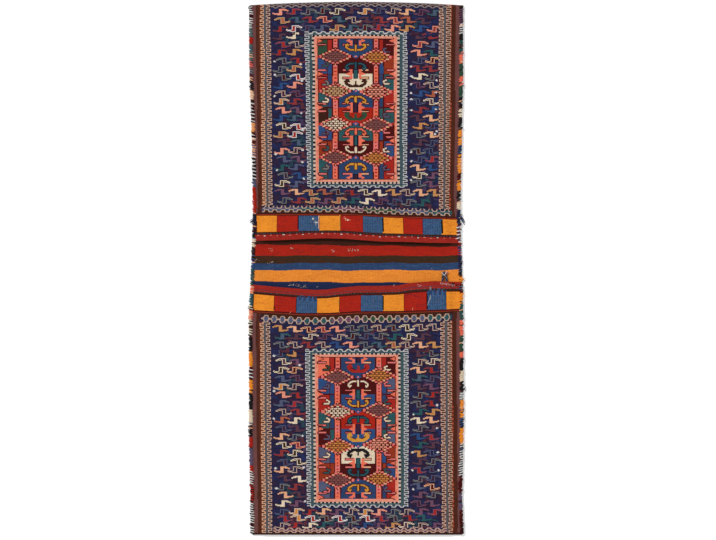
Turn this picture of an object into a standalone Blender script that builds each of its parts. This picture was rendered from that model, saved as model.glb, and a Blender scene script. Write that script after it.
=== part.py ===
# A woven double saddlebag lying flat: one strip of cloth, folded up at both ends into two
# pouches, whose open sides are laced shut with lengths of coloured yarn.
# X runs across the bag, +Y towards the upper pouch's fold, and +Z up, out of the pouch fronts.
import math

import bmesh
import bpy
from mathutils.geometry import delaunay_2d_cdt
from mathutils.kdtree import KDTree

# The strip and its folds, in metres
UPPER_DEPTH = 0.632
BRIDGE_LENGTH = 0.115
LOWER_DEPTH = 0.653
BAG_LENGTH = UPPER_DEPTH + BRIDGE_LENGTH + LOWER_DEPTH
BAG_WIDTH = 0.564
CLOTH = 0.003
POUCH_HOLLOW = 0.009
FOLD_RADIUS = CLOTH + POUCH_HOLLOW / 2
FOLD_STEPS = 6
TOP_BOW = 0.009
SEAM_GAP = 0.0008
RELIEF = 0.0009
RING_GAP = 0.0004

# The laced side seams
YARN = 0.0025
FIT = 0.0003
LACING_REACH = 0.0155
SHOULDER = 0.85
YARN_WAIST = 0.8
ROUNDING = 1.2
YARN_END_RADIUS = 0.0012
YARN_END_LENGTH = 0.016
YARN_END_BEND = math.pi / 3
YARN_STEPS = 5
LOOP_CORD_RADIUS = 0.0022
LOOP_TURN = 1.5 * math.pi
LOOP_STEPS = 10
LOOP_LENGTH = 0.024
LOOP_WIDTH = 0.012
LOOP_FROM_SIDE = 0.054
LOOP_FROM_MOUTH = 0.022

# Bands that run along the sides of each front, from the lacing inwards
MAUVE_STRIPE = 0.0075
BROWN_STRIPE = 0.007
TOOTHED_STRIPE = 0.009
GUARD_STRIPE = 0.019

# Bands across each front, from the mouth towards the fold
LIP = 0.019
DOTTED_LINE = 0.005
SQUARE = 0.045
BROWN_LINE = 0.006
UPPER_MEANDER = 0.009
LOWER_MEANDER = 0.022
FOLD_BORDER = 0.011
SQUARE_COUNT = 10
SLIT = 0.0012
SLIT_END = 0.002

# The border of hooked figures, and the rings inside it: (across the bag, along it)
HOOK_BORDER = 0.091
UPPER_MOUTH_BORDER = 0.050
UPPER_FOLD_BORDER = 0.066
LOWER_MOUTH_BORDER = 0.073
LOWER_FOLD_BORDER = 0.053
WHITE_RING = (0.009, 0.006)
TEAL_RING = (0.011, 0.005)
TOOTH_RING = (0.006, 0.003)
CORAL_RING = (0.010, 0.005)
HOOK_LENGTH = 0.029
HOOK_HEIGHT = 0.016
HOOK_PITCH = (0.037, 0.0215)
HOOK_ARM = 0.42
HOOK_STEM = 0.13
HOOK_COLOURS = ("rust", "slate", "coral", "mauve", "cream", "teal", "madder", "slate", "gold")
FLAT_HOOKS = ("slate", "mauve", "teal", "madder")

# The field of lozenges
LOZENGE_ROWS = 4
LOZENGE_WIDTH = 0.084
LOZENGE_HEIGHT = 0.041
LOZENGE_COLUMN = 0.052
LOZENGE_LINE = 0.005
LOZENGE_FILL = 0.0085
LOZENGE_FILLS = ("mauve", "gold", "gold", "cream", "cream", "mauve", "mauve", "gold")
GROUNDS = (("indigo blue", "indigo blue"), ("oxblood", "cream"), ("teal", "madder"),
           ("slate", "oxblood"), ("indigo blue", "indigo blue"))
LADDER_WIDTH = 0.0126
COMB_WIDTH = 0.021
COMB_HEIGHT = 0.024
COMB_GAP = 0.016
ANCHOR_WIDTH = 0.046
ANCHOR_HEIGHT = 0.012
END_ANCHOR = 0.024
PRONG = 0.013

# Stripes across the bridge, from the upper mouth to the lower one: (colour, width)
BRIDGE_STRIPES = (
    ("dark brown", 0.011),
    ("madder", 0.025),
    ("olive brown", 0.019),
    ("indigo blue", 0.018),
    ("orange", 0.032),
)

# How far the two long edges lie inside the full width, at these shares of the half length
EDGE_STATIONS = (-1, -0.85, -0.6, -0.17, 0.02, 0.2, 0.5, 0.75, 1)
LEFT_INSETS = (0.006, 0.006, 0.002, 0.002, 0.008, 0.011, 0.007, 0.001, 0.0)
RIGHT_INSETS = (0.001, 0.005, 0.001, 0.002, 0.005, 0.012, 0.008, 0.005, 0.003)

# How the two mouth edges wander along the bag: (share of the width, rise towards the top fold)
UPPER_MOUTH = ((0, 0.004), (0.2, 0.008), (0.36, 0.0105), (0.6, 0.002), (1, -0.002))
LOWER_MOUTH = ((0, 0.003), (0.3, -0.010), (0.45, -0.001), (0.62, 0.001), (0.78, 0.011), (1, 0.010))
MOUTH_FADE = 0.060
FADE_STATIONS = (0.33, 0.66, 1)
FRONT_STATIONS = (-0.42, 0, 0.42)
SAME_LINE = 2e-6

# The yarn lengths of each seam, from top to bottom: (colour, length)
LEFT_UPPER = (("black", 0.051), ("slate", 0.025), ("madder", 0.020), ("slate", 0.046),
              ("rose", 0.016), ("mauve", 0.035), ("black", 0.026), ("cream", 0.024),
              ("black", 0.011), ("oxblood", 0.050), ("orange", 0.026), ("black", 0.029),
              ("orange", 0.032), ("black", 0.066), ("slate", 0.018), ("madder", 0.071),
              ("navy", 0.060), ("black", 0.013))
LEFT_BRIDGE = (("cream", 0.021), ("dark brown", 0.029), ("indigo blue", 0.029), ("teal", 0.031))
LEFT_LOWER = (("coral", 0.021), ("teal", 0.033), ("cream", 0.009), ("coral", 0.029),
              ("cream", 0.041), ("black", 0.041), ("orange", 0.042), ("slate", 0.034),
              ("orange", 0.034), ("black", 0.042), ("cream", 0.043), ("black", 0.030),
              ("madder", 0.026), ("slate", 0.046), ("madder", 0.017), ("oxblood", 0.038),
              ("madder", 0.043), ("black", 0.081))
RIGHT_UPPER = (("black", 0.043), ("cream", 0.029), ("black", 0.016), ("teal", 0.032),
               ("vermilion", 0.029), ("teal", 0.035), ("vermilion", 0.026), ("teal", 0.030),
               ("black", 0.032), ("cream", 0.021), ("black", 0.034), ("orange", 0.041),
               ("navy", 0.024), ("orange", 0.096), ("black", 0.029), ("cream", 0.018),
               ("navy", 0.040), ("oxblood", 0.047))
RIGHT_BRIDGE = (("madder", 0.034), ("navy", 0.035), ("black", 0.021), ("orange", 0.013))
RIGHT_LOWER = (("oxblood", 0.030), ("orange", 0.026), ("teal", 0.043), ("coral", 0.040),
               ("teal", 0.038), ("coral", 0.024), ("black", 0.034), ("cream", 0.026),
               ("black", 0.029), ("teal", 0.021), ("orange", 0.047), ("black", 0.024),
               ("orange", 0.042), ("slate", 0.037), ("black", 0.053), ("oxblood", 0.042),
               ("mauve", 0.045), ("oxblood", 0.050))
YARNS_PER_PIECE = 2

# Yarn ends left standing out of the seams: (name, side, share of the half length, reach)
YARN_ENDS = (
    ("yarn_end_left_upper", -1, 0.18, 0.010),
    ("yarn_end_left_lower", -1, -0.145, 0.005),
    ("yarn_end_right_upper", 1, 0.19, 0.016),
    ("yarn_end_right_bridge", 1, -0.03, 0.005),
    ("yarn_end_right_lower", 1, -0.45, 0.005),
)

# Wool colours, as red, green and blue out of 255
WOOL = {
    "navy": (38, 40, 74),
    "indigo blue": (44, 63, 94),
    "slate": (92, 92, 100),
    "teal": (62, 86, 88),
    "madder": (158, 40, 27),
    "vermilion": (196, 72, 44),
    "coral": (226, 122, 98),
    "rose": (200, 98, 96),
    "orange": (228, 132, 46),
    "gold": (196, 142, 60),
    "cream": (226, 206, 176),
    "mauve": (107, 72, 80),
    "oxblood": (78, 24, 20),
    "dark brown": (68, 40, 27),
    "olive brown": (60, 43, 33),
    "rust": (150, 66, 40),
    "black": (34, 29, 30),
}

CLOTH_WIDTH = BAG_WIDTH - 2 * (YARN + FIT)
HALF_CLOTH = CLOTH_WIDTH / 2
TOP = BAG_LENGTH / 2
LIFT = YARN + FIT
SEAM_FLAT = LACING_REACH
SIDE_BANDS = (MAUVE_STRIPE, BROWN_STRIPE, TOOTHED_STRIPE, GUARD_STRIPE)
SEAM_SLOPE = sum(SIDE_BANDS[:3])

# Distances along the strip, from the upper mouth round both folds to the lower mouth
UPPER_FRONT = UPPER_DEPTH - FOLD_RADIUS
FOLD_ARC = math.pi * FOLD_RADIUS
BACK_START = UPPER_FRONT + FOLD_ARC
BACK_END = BACK_START + BAG_LENGTH - 2 * FOLD_RADIUS
LOWER_START = BACK_END + FOLD_ARC
LOWER_FRONT = LOWER_DEPTH - FOLD_RADIUS
STRIP = LOWER_START + LOWER_FRONT


def smooth(t):
    t = min(max(t, 0), 1)
    return t * t * (3 - 2 * t)


def share_of(t):
    return min(max(t, 0), 1)


def along(points, at, ease=smooth):
    """The value at a place on a line of (place, value) points, eased between them."""
    for (start, low), (end, high) in zip(points, points[1:]):
        if at <= end:
            return low + (high - low) * ease((at - start) / (end - start))
    return points[-1][1]


def edge_inset(side, y):
    insets = LEFT_INSETS if side < 0 else RIGHT_INSETS
    return along(list(zip(EDGE_STATIONS, insets)), y / TOP, share_of)


def drawn_in(x, y):
    """The place across the bag of a point of the uncurved cloth, between its wandering edges."""
    left = -HALF_CLOTH + edge_inset(-1, y)
    right = HALF_CLOTH - edge_inset(1, y)
    return left + (right - left) * (x + HALF_CLOTH) / CLOTH_WIDTH


def bowed(x, y):
    """The place along the bag, with the upper fold's corners lower than its middle."""
    return y - TOP_BOW * (2 * x / BAG_WIDTH) ** 2 * max(0, y / TOP) ** 4


def swell(x):
    """0 along the flat side seams, 1 where the pouch has its full hollow."""
    return smooth((HALF_CLOTH - abs(x) - SEAM_FLAT) / SEAM_SLOPE)


def base(x):
    """The height of the back cloth, which the lacing under its edges lifts."""
    return LIFT * (1 - swell(x))


def hollow(x):
    return SEAM_GAP + (POUCH_HOLLOW - SEAM_GAP) * swell(x)


def mouth_shift(line, x, distance):
    fade = max(0, 1 - distance / MOUTH_FADE)
    return along(line, 0.5 + x / CLOTH_WIDTH) * fade * fade


def on_front(x, y, outer, raised):
    height = base(x) + CLOTH + hollow(x) + (CLOTH + raised if outer else 0)
    return drawn_in(x, y), bowed(x, y), height


def on_fold(x, end, turn, outer):
    start = end * (TOP - FOLD_RADIUS)
    reach = FOLD_RADIUS if outer else FOLD_RADIUS - CLOTH
    half_gap = hollow(x) / 2
    y = start + end * reach * math.sin(turn)
    height = half_gap + CLOTH if outer else half_gap
    z = base(x) + CLOTH + half_gap + height * math.cos(turn)
    return drawn_in(x, y), bowed(x, y), z


def folded(x, w, outer, raised=0):
    """The folded place of a point x across and w along the flat strip."""
    if w < UPPER_FRONT:
        y = TOP - UPPER_DEPTH + w
        return on_front(x, y + mouth_shift(UPPER_MOUTH, x, w), outer, raised)
    if w < BACK_START:
        return on_fold(x, 1, (w - UPPER_FRONT) / FOLD_RADIUS, outer)
    if w <= BACK_END:
        y = TOP - FOLD_RADIUS - (w - BACK_START)
        return drawn_in(x, y), bowed(x, y), base(x) + (0 if outer else CLOTH)
    if w <= LOWER_START:
        return on_fold(x, -1, (LOWER_START - w) / FOLD_RADIUS, outer)
    y = LOWER_DEPTH - TOP - (STRIP - w)
    return on_front(x, y + mouth_shift(LOWER_MOUTH, x, STRIP - w), outer, raised)


def box(x0, x1, y0, y1):
    return [(x0, y0), (x1, y0), (x1, y1), (x0, y1)]


def lozenge(x, y, width, height):
    return [(x - width / 2, y), (x, y - height / 2), (x + width / 2, y), (x, y + height / 2)]


def turned(points, x, y, across, lengthways):
    return [(x + across * px, y + lengthways * py) for px, py in points]


def hook(x, y, turn):
    """The outline and the spine of a broken-armed figure: an arm each way from a stem."""
    a, h, stem = HOOK_LENGTH / 2, HOOK_HEIGHT / 2, HOOK_LENGTH * HOOK_STEM
    arm = HOOK_HEIGHT * HOOK_ARM
    outline = [(-a, h), (stem, h), (stem, arm - h), (a, arm - h),
               (a, -h), (-stem, -h), (-stem, h - arm), (-a, h - arm)]
    tip, level = a - arm / 2, h - arm / 2
    spine = [(-tip, level), (0, level), (0, -level), (tip, -level)]
    return turned(outline, x, y, turn, 1), turned(spine, x, y, turn, 1)


def comb(x, y, way):
    """The outline and the spines of three prongs that point outwards from a back."""
    w, h, t = COMB_WIDTH, COMB_HEIGHT / 2, COMB_HEIGHT / 5
    back = w / 3
    outline = [(0, -h), (w, -h), (w, t - h), (back, t - h), (back, -t / 2), (w, -t / 2),
               (w, t / 2), (back, t / 2), (back, h - t), (w, h - t), (w, h), (0, h)]
    tip, level = w - t / 2, h - t / 2
    frame = [(tip, level), (back / 2, level), (back / 2, 0), (back / 2, -level), (tip, -level)]
    middle = [(back / 2, 0), (tip, 0)]
    return [turned(shape, x, y, way, 1) for shape in (outline, frame, middle)]


def anchor(x, y, way):
    """The outline and the spines of a stem with two arms that curl back towards it."""
    a, h, t = ANCHOR_WIDTH / 2, ANCHOR_HEIGHT, ANCHOR_HEIGHT / 4
    curl = h / 3
    half = [(t, 0), (t, h - t), (a - t, h - t), (a - t, curl), (a, curl), (a, h)]
    outline = half + [(-px, py) for px, py in reversed(half)]
    side, level = a - t / 2, h - t / 2
    arms = [(-side, curl + t / 2), (-side, level), (0, level), (side, level), (side, curl + t / 2)]
    stem = [(0, t / 2), (0, level)]
    return [turned(shape, x, y, 1, way) for shape in (outline, arms, stem)]


def prong(x, y, way):
    """The outline and the spine of a short point on the frame's inner side."""
    h = LADDER_WIDTH / 2
    spine = [(x - way * PRONG / 8, y), (x - way * PRONG / 2, y)]
    return [(x, y - h), (x - way * PRONG, y), (x, y + h)], spine


def midway(outer, inner):
    """The closed line halfway between two outlines of as many points."""
    line = [((ax + bx) / 2, (ay + by) / 2) for (ax, ay), (bx, by) in zip(outer, inner)]
    return line + line[:1]


def inside(shape, x, y):
    hit = False
    for (ax, ay), (bx, by) in zip(shape, shape[1:] + shape[:1]):
        if (ay > y) != (by > y) and x < ax + (bx - ax) * (y - ay) / (by - ay):
            hit = not hit
    return hit


class Chart:
    """The strip's colour fields, laid out flat: later fields lie over earlier ones."""

    def __init__(self):
        self.fields = []
        self.slits = []
        self.both_faces = []
        self.spines = []

    def field(self, colour, shape):
        xs, ys = zip(*shape)
        self.fields.append((colour, shape, (min(xs), max(xs), min(ys), max(ys))))

    def figure(self, colour, outline, *spines):
        """A wrapped figure: its outline is level with the ground and its spines stand proud."""
        self.field(colour, outline)
        self.spines += spines

    def ring(self, colour, outer, inner, within):
        """A raised line between two outlines."""
        self.figure(colour, outer, midway(outer, inner))
        self.field(within, inner)

    def slit(self, shape):
        self.slits.append(shape)
        self.both_faces.append(shape)

    def in_slit(self, x, y):
        return any(inside(shape, x, y) for shape in self.slits)

    def colour_at(self, x, y):
        for colour, shape, (x0, x1, y0, y1) in reversed(self.fields):
            if x0 < x < x1 and y0 < y < y1 and inside(shape, x, y):
                return colour
        return "madder"


def stack(start, sizes):
    """The places where bands of these sizes begin and end, one after another."""
    places = [start]
    for size in sizes:
        places.append(places[-1] + size)
    return places


def side_bands(chart, place, low, high):
    """The bands along both sides of a pouch front, outside its borders."""
    edges = stack(LACING_REACH, SIDE_BANDS)
    colours = ("mauve", "dark brown", "rust", "slate")
    for near, far, colour in zip(edges, edges[1:], colours):
        for side in (-1, 1):
            x0, x1 = sorted((side * (BAG_WIDTH / 2 - near), side * (BAG_WIDTH / 2 - far)))
            chart.field(colour, place(box(x0, x1, low, high)))


def closure_band(chart, place, colours):
    """The squares through whose slits the closing loops went, and the lines beside them."""
    lip, squares = LIP + DOTTED_LINE, LIP + DOTTED_LINE + SQUARE
    chart.field("madder", place(box(-HALF_CLOTH, HALF_CLOTH, 0, LIP)))
    chart.field("teal", place(box(-HALF_CLOTH, HALF_CLOTH, LIP, lip)))
    half = BAG_WIDTH / 2 - LACING_REACH
    edges = [(2 * i / SQUARE_COUNT - 1) * half for i in range(SQUARE_COUNT + 1)]
    for i, (x0, x1) in enumerate(zip(edges, edges[1:])):
        square = place(box(x0, x1, lip, squares))
        chart.field(colours[i % len(colours)], square)
        chart.both_faces.append(square)
        if i:
            slit = box(x0 - SLIT / 2, x0 + SLIT / 2, lip + SLIT_END, squares - SLIT_END)
            chart.slit(place(slit))
    chart.field("dark brown", place(box(-HALF_CLOTH, HALF_CLOTH, squares, squares + BROWN_LINE)))
    return squares + BROWN_LINE


def hooks(chart, place, x0, x1, y0, y1, turn):
    """Rows of hooked figures that fill a part of the border, their colours in turn."""
    columns = max(1, int((x1 - x0) / HOOK_PITCH[0]))
    rows = max(1, int((y1 - y0) / HOOK_PITCH[1]))
    for row in range(rows):
        for column in range(columns):
            x = x0 + (column + 0.5) * (x1 - x0) / columns
            y = y0 + (row + 0.5) * (y1 - y0) / rows
            colour = HOOK_COLOURS[(3 * column + 5 * row) % len(HOOK_COLOURS)]
            outline, spine = map(place, hook(x, y, turn if row % 2 else -turn))
            if colour in FLAT_HOOKS:
                chart.field(colour, outline)
            else:
                chart.figure(colour, outline, spine)


def ladder(chart, place, x, low, high):
    """An upright bar with a raised middle."""
    outline = box(x - LADDER_WIDTH / 2, x + LADDER_WIDTH / 2, low, high)
    spine = [(x, low + LADDER_WIDTH / 4), (x, high - LADDER_WIDTH / 4)]
    chart.figure("coral", place(outline), place(spine))


def lozenge_field(chart, place, half, low, high):
    """Two columns of lozenges on ladders, with combs and anchors between them."""
    chart.field("oxblood", place(box(-half, half, low, high)))
    pitch = (high - low) / LOZENGE_ROWS
    inner = LOZENGE_COLUMN - LADDER_WIDTH / 2
    for i, (first, second) in enumerate(GROUNDS):
        middle = low + i * pitch
        y0, y1 = max(low, middle - pitch / 2), min(high, middle + pitch / 2)
        chart.field(first, place(box(-inner, inner, y0, middle if i else y1)))
        if 0 < i < LOZENGE_ROWS:
            chart.field(second, place(box(-inner, inner, middle, y1)))
            chart.field("madder", place(box(-half, -inner, middle, y1)))
            chart.field("teal", place(box(inner, half, y0, middle)))
    for column in range(2):
        x = (2 * column - 1) * LOZENGE_COLUMN
        rung = low
        for row in range(LOZENGE_ROWS):
            y = low + (row + 0.5) * pitch
            ladder(chart, place, x, rung, y - LOZENGE_HEIGHT / 2)
            rung = y + LOZENGE_HEIGHT / 2
            line, fill = 4 * LOZENGE_LINE, 4 * LOZENGE_FILL
            outer = place(lozenge(x, y, LOZENGE_WIDTH, LOZENGE_HEIGHT))
            inner_edge = place(lozenge(x, y, LOZENGE_WIDTH - line, LOZENGE_HEIGHT - line / 2))
            chart.ring("rose", outer, inner_edge, "oxblood")
            filled = place(lozenge(x, y, LOZENGE_WIDTH - fill, LOZENGE_HEIGHT - fill / 2))
            chart.field(LOZENGE_FILLS[2 * row + column], filled)
        ladder(chart, place, x, rung, high)
    for i in range(LOZENGE_ROWS + 1):
        y = low + i * pitch
        for way in (-1, 1):
            side = min(max(y, low + LADDER_WIDTH), high - LADDER_WIDTH)
            chart.figure("coral", *map(place, prong(way * half, side, way)))
            if 0 < i < LOZENGE_ROWS:
                chart.figure("coral", *map(place, comb(way * COMB_GAP / 2, y, way)))
                off = way * (COMB_HEIGHT / 2 + ANCHOR_HEIGHT / 3)
            else:
                off = END_ANCHOR if i == 0 else -END_ANCHOR
            if (i or way > 0) and (i < LOZENGE_ROWS or way < 0):
                chart.figure("gold" if i % 2 else "teal", *map(place, anchor(0, y + off, way)))


def pouch_front(chart, place, depth, mouth_border, fold_border, meander):
    """All the woven pattern of one pouch, from its mouth to its fold."""
    colours = ("orange", "madder", "indigo blue")
    low = closure_band(chart, place, colours)
    end, high = depth - RING_GAP, depth - FOLD_BORDER
    side_bands(chart, place, low, end)
    half = BAG_WIDTH / 2 - LACING_REACH - sum(SIDE_BANDS)
    chart.field("mauve", place(box(-half, half, low, end)))
    low += meander
    chart.field("navy", place(box(-half, half, low, high)))
    inner_half, y0, y1 = half - HOOK_BORDER, low + mouth_border, high - fold_border
    hooks(chart, place, -half, half, low, y0, 1)
    hooks(chart, place, -half, half, y1, high, 1)
    hooks(chart, place, -half, -inner_half, y0, y1, 1)
    hooks(chart, place, inner_half, half, y0, y1, -1)
    rings = (("cream", WHITE_RING), ("teal", TEAL_RING), ("cream", TOOTH_RING), ("coral", CORAL_RING))
    for colour, (across, lengthways) in rings:
        outer = place(box(-inner_half, inner_half, y0, y1))
        inner_half, y0, y1 = inner_half - across, y0 + lengthways, y1 - lengthways
        if colour == "teal":
            chart.field(colour, outer)
        else:
            chart.ring(colour, outer, place(box(-inner_half, inner_half, y0, y1)), "teal")
    lozenge_field(chart, place, inner_half - RING_GAP, y0 + RING_GAP, y1 - RING_GAP)


def on_upper(shape):
    return shape


def on_lower(shape):
    return [(x, STRIP - distance) for x, distance in shape]


def whole_chart():
    chart = Chart()
    back = box(-HALF_CLOTH, HALF_CLOTH, BACK_START, BACK_END)
    chart.field("dark brown", back)
    start = BACK_START + UPPER_DEPTH - FOLD_RADIUS
    places = stack(start, [width for _, width in BRIDGE_STRIPES])
    for (colour, _), w0, w1 in zip(BRIDGE_STRIPES, places, places[1:]):
        chart.field(colour, box(-HALF_CLOTH, HALF_CLOTH, w0, w1))
    gap_end = BACK_END - LOWER_DEPTH + FOLD_RADIUS + LIP
    chart.field("navy", box(-HALF_CLOTH, HALF_CLOTH, places[-1], gap_end))
    pouch_front(chart, on_upper, UPPER_FRONT, UPPER_MOUTH_BORDER, UPPER_FOLD_BORDER, UPPER_MEANDER)
    pouch_front(chart, on_lower, LOWER_FRONT, LOWER_MOUTH_BORDER, LOWER_FOLD_BORDER, LOWER_MEANDER)
    return chart


def shared_lines():
    """The places where both faces of the strip are divided, for its folds and its slopes."""
    fold = [i * FOLD_ARC / FOLD_STEPS for i in range(FOLD_STEPS + 1)]
    across = [UPPER_FRONT + f for f in fold] + [BACK_END + f for f in fold]
    fading = [share * MOUTH_FADE for share in FADE_STATIONS]
    across += fading + [STRIP - w for w in fading]
    for share in EDGE_STATIONS[1:-1]:
        y = share * TOP
        across.append(BACK_START + TOP - FOLD_RADIUS - y)
        if y > TOP - UPPER_DEPTH:
            across.append(y - (TOP - UPPER_DEPTH))
        if y < LOWER_DEPTH - TOP:
            across.append(STRIP - (LOWER_DEPTH - TOP - y))
    sides = stack(LACING_REACH + YARN, (SEAM_SLOPE / 4,) * 4)
    along_lines = [side * (BAG_WIDTH / 2 - s) for s in sides for side in (-1, 1)]
    return across, along_lines + [share * HALF_CLOTH for share in FRONT_STATIONS]


def on_line(w, lines):
    """The division line that a point lies on, or else its own place."""
    line = min(lines, key=lambda place: abs(place - w))
    return line if abs(line - w) < SAME_LINE else round(w, 6)


def divided(outlines, spines, across, alongs, chart):
    """The flat strip cut into triangles along all these lines: (points, triangles, raised)."""
    points = []
    edges = []
    for spine in spines:
        edges += [(len(points) + i, len(points) + i + 1) for i in range(len(spine) - 1)]
        points += [(round(x, 6), on_line(w, across)) for x, w in spine]
    spine_edges = len(edges)
    for shape in outlines:
        first = len(points)
        points += [(round(x, 6), on_line(w, across)) for x, w in shape]
        edges += [(first + i, first + (i + 1) % len(shape)) for i in range(len(shape))]
    for w in across:
        edges.append((len(points), len(points) + 1))
        points += [(-HALF_CLOTH, w), (HALF_CLOTH, w)]
    for x in alongs:
        edges.append((len(points), len(points) + 1))
        points += [(x, 0), (x, STRIP)]
    edge = box(-HALF_CLOTH, HALF_CLOTH, 0, STRIP)
    first = len(points)
    points += edge
    edges += [(first + i, first + (i + 1) % 4) for i in range(4)]
    places, cut_edges, triangles, _, cut_from, _ = delaunay_2d_cdt(points, edges, [], 0, 1e-6)
    raised = set()
    for ends, sources in zip(cut_edges, cut_from):
        if any(source < spine_edges for source in sources):
            raised.update(ends)
    middles = [[sum(places[i][axis] for i in t) / 3 for axis in (0, 1)] for t in triangles]
    kept = [(t, m) for t, m in zip(triangles, middles) if not chart.in_slit(*m)]
    return places, kept, raised


def woven_cloth(chart, materials):
    """The strip, both faces and its edges, folded into its two pouches."""
    across, alongs = shared_lines()
    whole = [w for _, shape, (x0, x1, w, _) in chart.fields if x0 <= -HALF_CLOTH]
    whole += [w for _, shape, (x0, x1, _, w) in chart.fields if x0 <= -HALF_CLOTH]
    across = sorted(set(round(w, 7) for w in across + whole if 0 < w < STRIP))
    patterned = [s for _, s, (x0, _, _, _) in chart.fields if x0 > -HALF_CLOTH]
    mesh = bmesh.new()
    names = sorted(WOOL)
    faces = {}
    for outer in (True, False):
        outlines = patterned + chart.both_faces if outer else chart.both_faces
        spines = chart.spines if outer else []
        places, triangles, raised = divided(outlines, spines, across, alongs, chart)
        vertices = []
        for i, (x, w) in enumerate(places):
            height = RELIEF if i in raised else 0
            vertices.append(mesh.verts.new(folded(x, w, outer, height)))
        for triangle, (x, w) in triangles:
            corners = [vertices[i] for i in triangle]
            face = mesh.faces.new(corners if outer else corners[::-1])
            face.material_index = names.index(chart.colour_at(x, w))
        faces[outer] = (places, triangles, vertices)
    inner_places, _, inner_vertices = faces[False]
    beneath = KDTree(len(inner_places))
    for i, (x, w) in enumerate(inner_places):
        beneath.insert((x, w, 0), i)
    beneath.balance()
    places, triangles, vertices = faces[True]
    sides = {}
    for triangle, _ in triangles:
        for i, j in zip(triangle, triangle[1:] + triangle[:1]):
            sides[i, j] = vertices[i].link_faces[0].material_index
    for (i, j), colour in sides.items():
        if (j, i) not in sides:
            below = [inner_vertices[beneath.find((*places[k], 0))[1]] for k in (i, j)]
            face = mesh.faces.new((vertices[j], vertices[i], *below))
            face.material_index = colour
    for vertex in [v for v in mesh.verts if not v.link_faces]:
        mesh.verts.remove(vertex)
    bmesh.ops.recalc_face_normals(mesh, faces=mesh.faces)
    return finished("woven_cloth", mesh, [materials[name] for name in names])


def finished(name, mesh, materials):
    data = bpy.data.meshes.new(name)
    mesh.to_mesh(data)
    mesh.free()
    for material in materials:
        data.materials.append(material)
    obj = bpy.data.objects.new(name, data)
    bpy.data.collections["saddlebag"].objects.link(obj)
    return obj


def lacing_profile(top, fullness):
    """The section of the yarn wrapped over a seam: (distance in from the side, height)."""
    wrap = YARN * fullness
    shoulder = SHOULDER * LACING_REACH
    return [
        (LACING_REACH, top + FIT),
        (shoulder, top + FIT + wrap),
        (ROUNDING * YARN, top + FIT + wrap),
        (YARN - wrap, (top + YARN) / 2),
        (ROUNDING * YARN, YARN - wrap),
        (shoulder, YARN - wrap),
        (LACING_REACH, YARN),
        (YARN, YARN),
        (YARN, top + FIT),
    ]


def lacing(name, side, yarns, start, length, top, materials):
    """One piece of a side seam: neighbouring yarn lengths, each a little fuller in its middle."""
    total = sum(size for _, size in yarns)
    sections = []
    y = start
    for colour, size in yarns:
        run = length * size / total
        kinks = [s * TOP for s in reversed(EDGE_STATIONS) if y - run < s * TOP < y]
        middles = kinks or [y - run / 2]
        sections += [(y, YARN_WAIST, colour)] + [(middle, 1, colour) for middle in middles]
        y -= run
    sections.append((y, YARN_WAIST, yarns[-1][0]))
    mesh = bmesh.new()
    rings = []
    for y, fullness, _ in sections:
        edge = BAG_WIDTH / 2 - edge_inset(side, y)
        ring = []
        for inward, z in lacing_profile(top, fullness):
            x = side * (edge - inward)
            ring.append(mesh.verts.new((x, bowed(x, y), z)))
        rings.append(ring)
    names = sorted({colour for colour, _ in yarns})
    for (_, _, colour), ring, following in zip(sections, rings, rings[1:]):
        for i in range(len(ring)):
            j = (i + 1) % len(ring)
            face = mesh.faces.new((ring[i], ring[j], following[j], following[i]))
            face.material_index = names.index(colour)
    mesh.faces.new(rings[0])
    mesh.faces.new(rings[-1])
    bmesh.ops.recalc_face_normals(mesh, faces=mesh.faces)
    return finished(name, mesh, [materials[n] for n in names])


def side_seams(materials):
    """Both laced seams, in pieces of neighbouring yarn lengths, from the top fold down."""
    double = LIFT + 2 * CLOTH + SEAM_GAP
    single = LIFT + CLOTH
    ends = {"left": along(UPPER_MOUTH, 0), "right": along(UPPER_MOUTH, 1)}
    low_ends = {"left": along(LOWER_MOUTH, 0), "right": along(LOWER_MOUTH, 1)}
    runs = {"left": (LEFT_UPPER, LEFT_BRIDGE, LEFT_LOWER),
            "right": (RIGHT_UPPER, RIGHT_BRIDGE, RIGHT_LOWER)}
    for side, name in ((-1, "left"), (1, "right")):
        upper_mouth = TOP - UPPER_DEPTH + ends[name]
        lower_mouth = LOWER_DEPTH - TOP + low_ends[name]
        zones = (("upper", TOP - FIT, upper_mouth, double),
                 ("bridge", upper_mouth - YARN, lower_mouth + YARN, single),
                 ("lower", lower_mouth, FIT - TOP, double))
        for (zone, high, low, top), yarns in zip(zones, runs[name]):
            total = sum(size for _, size in yarns)
            scale = (high - low) / total
            y = high
            for i in range(0, len(yarns), YARNS_PER_PIECE):
                group = yarns[i:i + YARNS_PER_PIECE]
                length = scale * sum(size for _, size in group)
                piece = f"{name}_{zone}_binding_{i // YARNS_PER_PIECE + 1}"
                lacing(piece, side, group, y - FIT / 2, length - FIT, top, materials)
                y -= length


def yarn_tube(name, points, radius, material):
    """A short length of yarn along these points."""
    data = bpy.data.curves.new(name, "CURVE")
    data.dimensions = "3D"
    data.bevel_depth = radius
    data.bevel_resolution = 1
    data.use_fill_caps = True
    spline = data.splines.new("POLY")
    spline.points.add(len(points) - 1)
    for point, place in zip(spline.points, points):
        point.co = (*place, 1)
    data.materials.append(material)
    obj = bpy.data.objects.new(name, data)
    bpy.data.collections["saddlebag"].objects.link(obj)
    return obj


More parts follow.
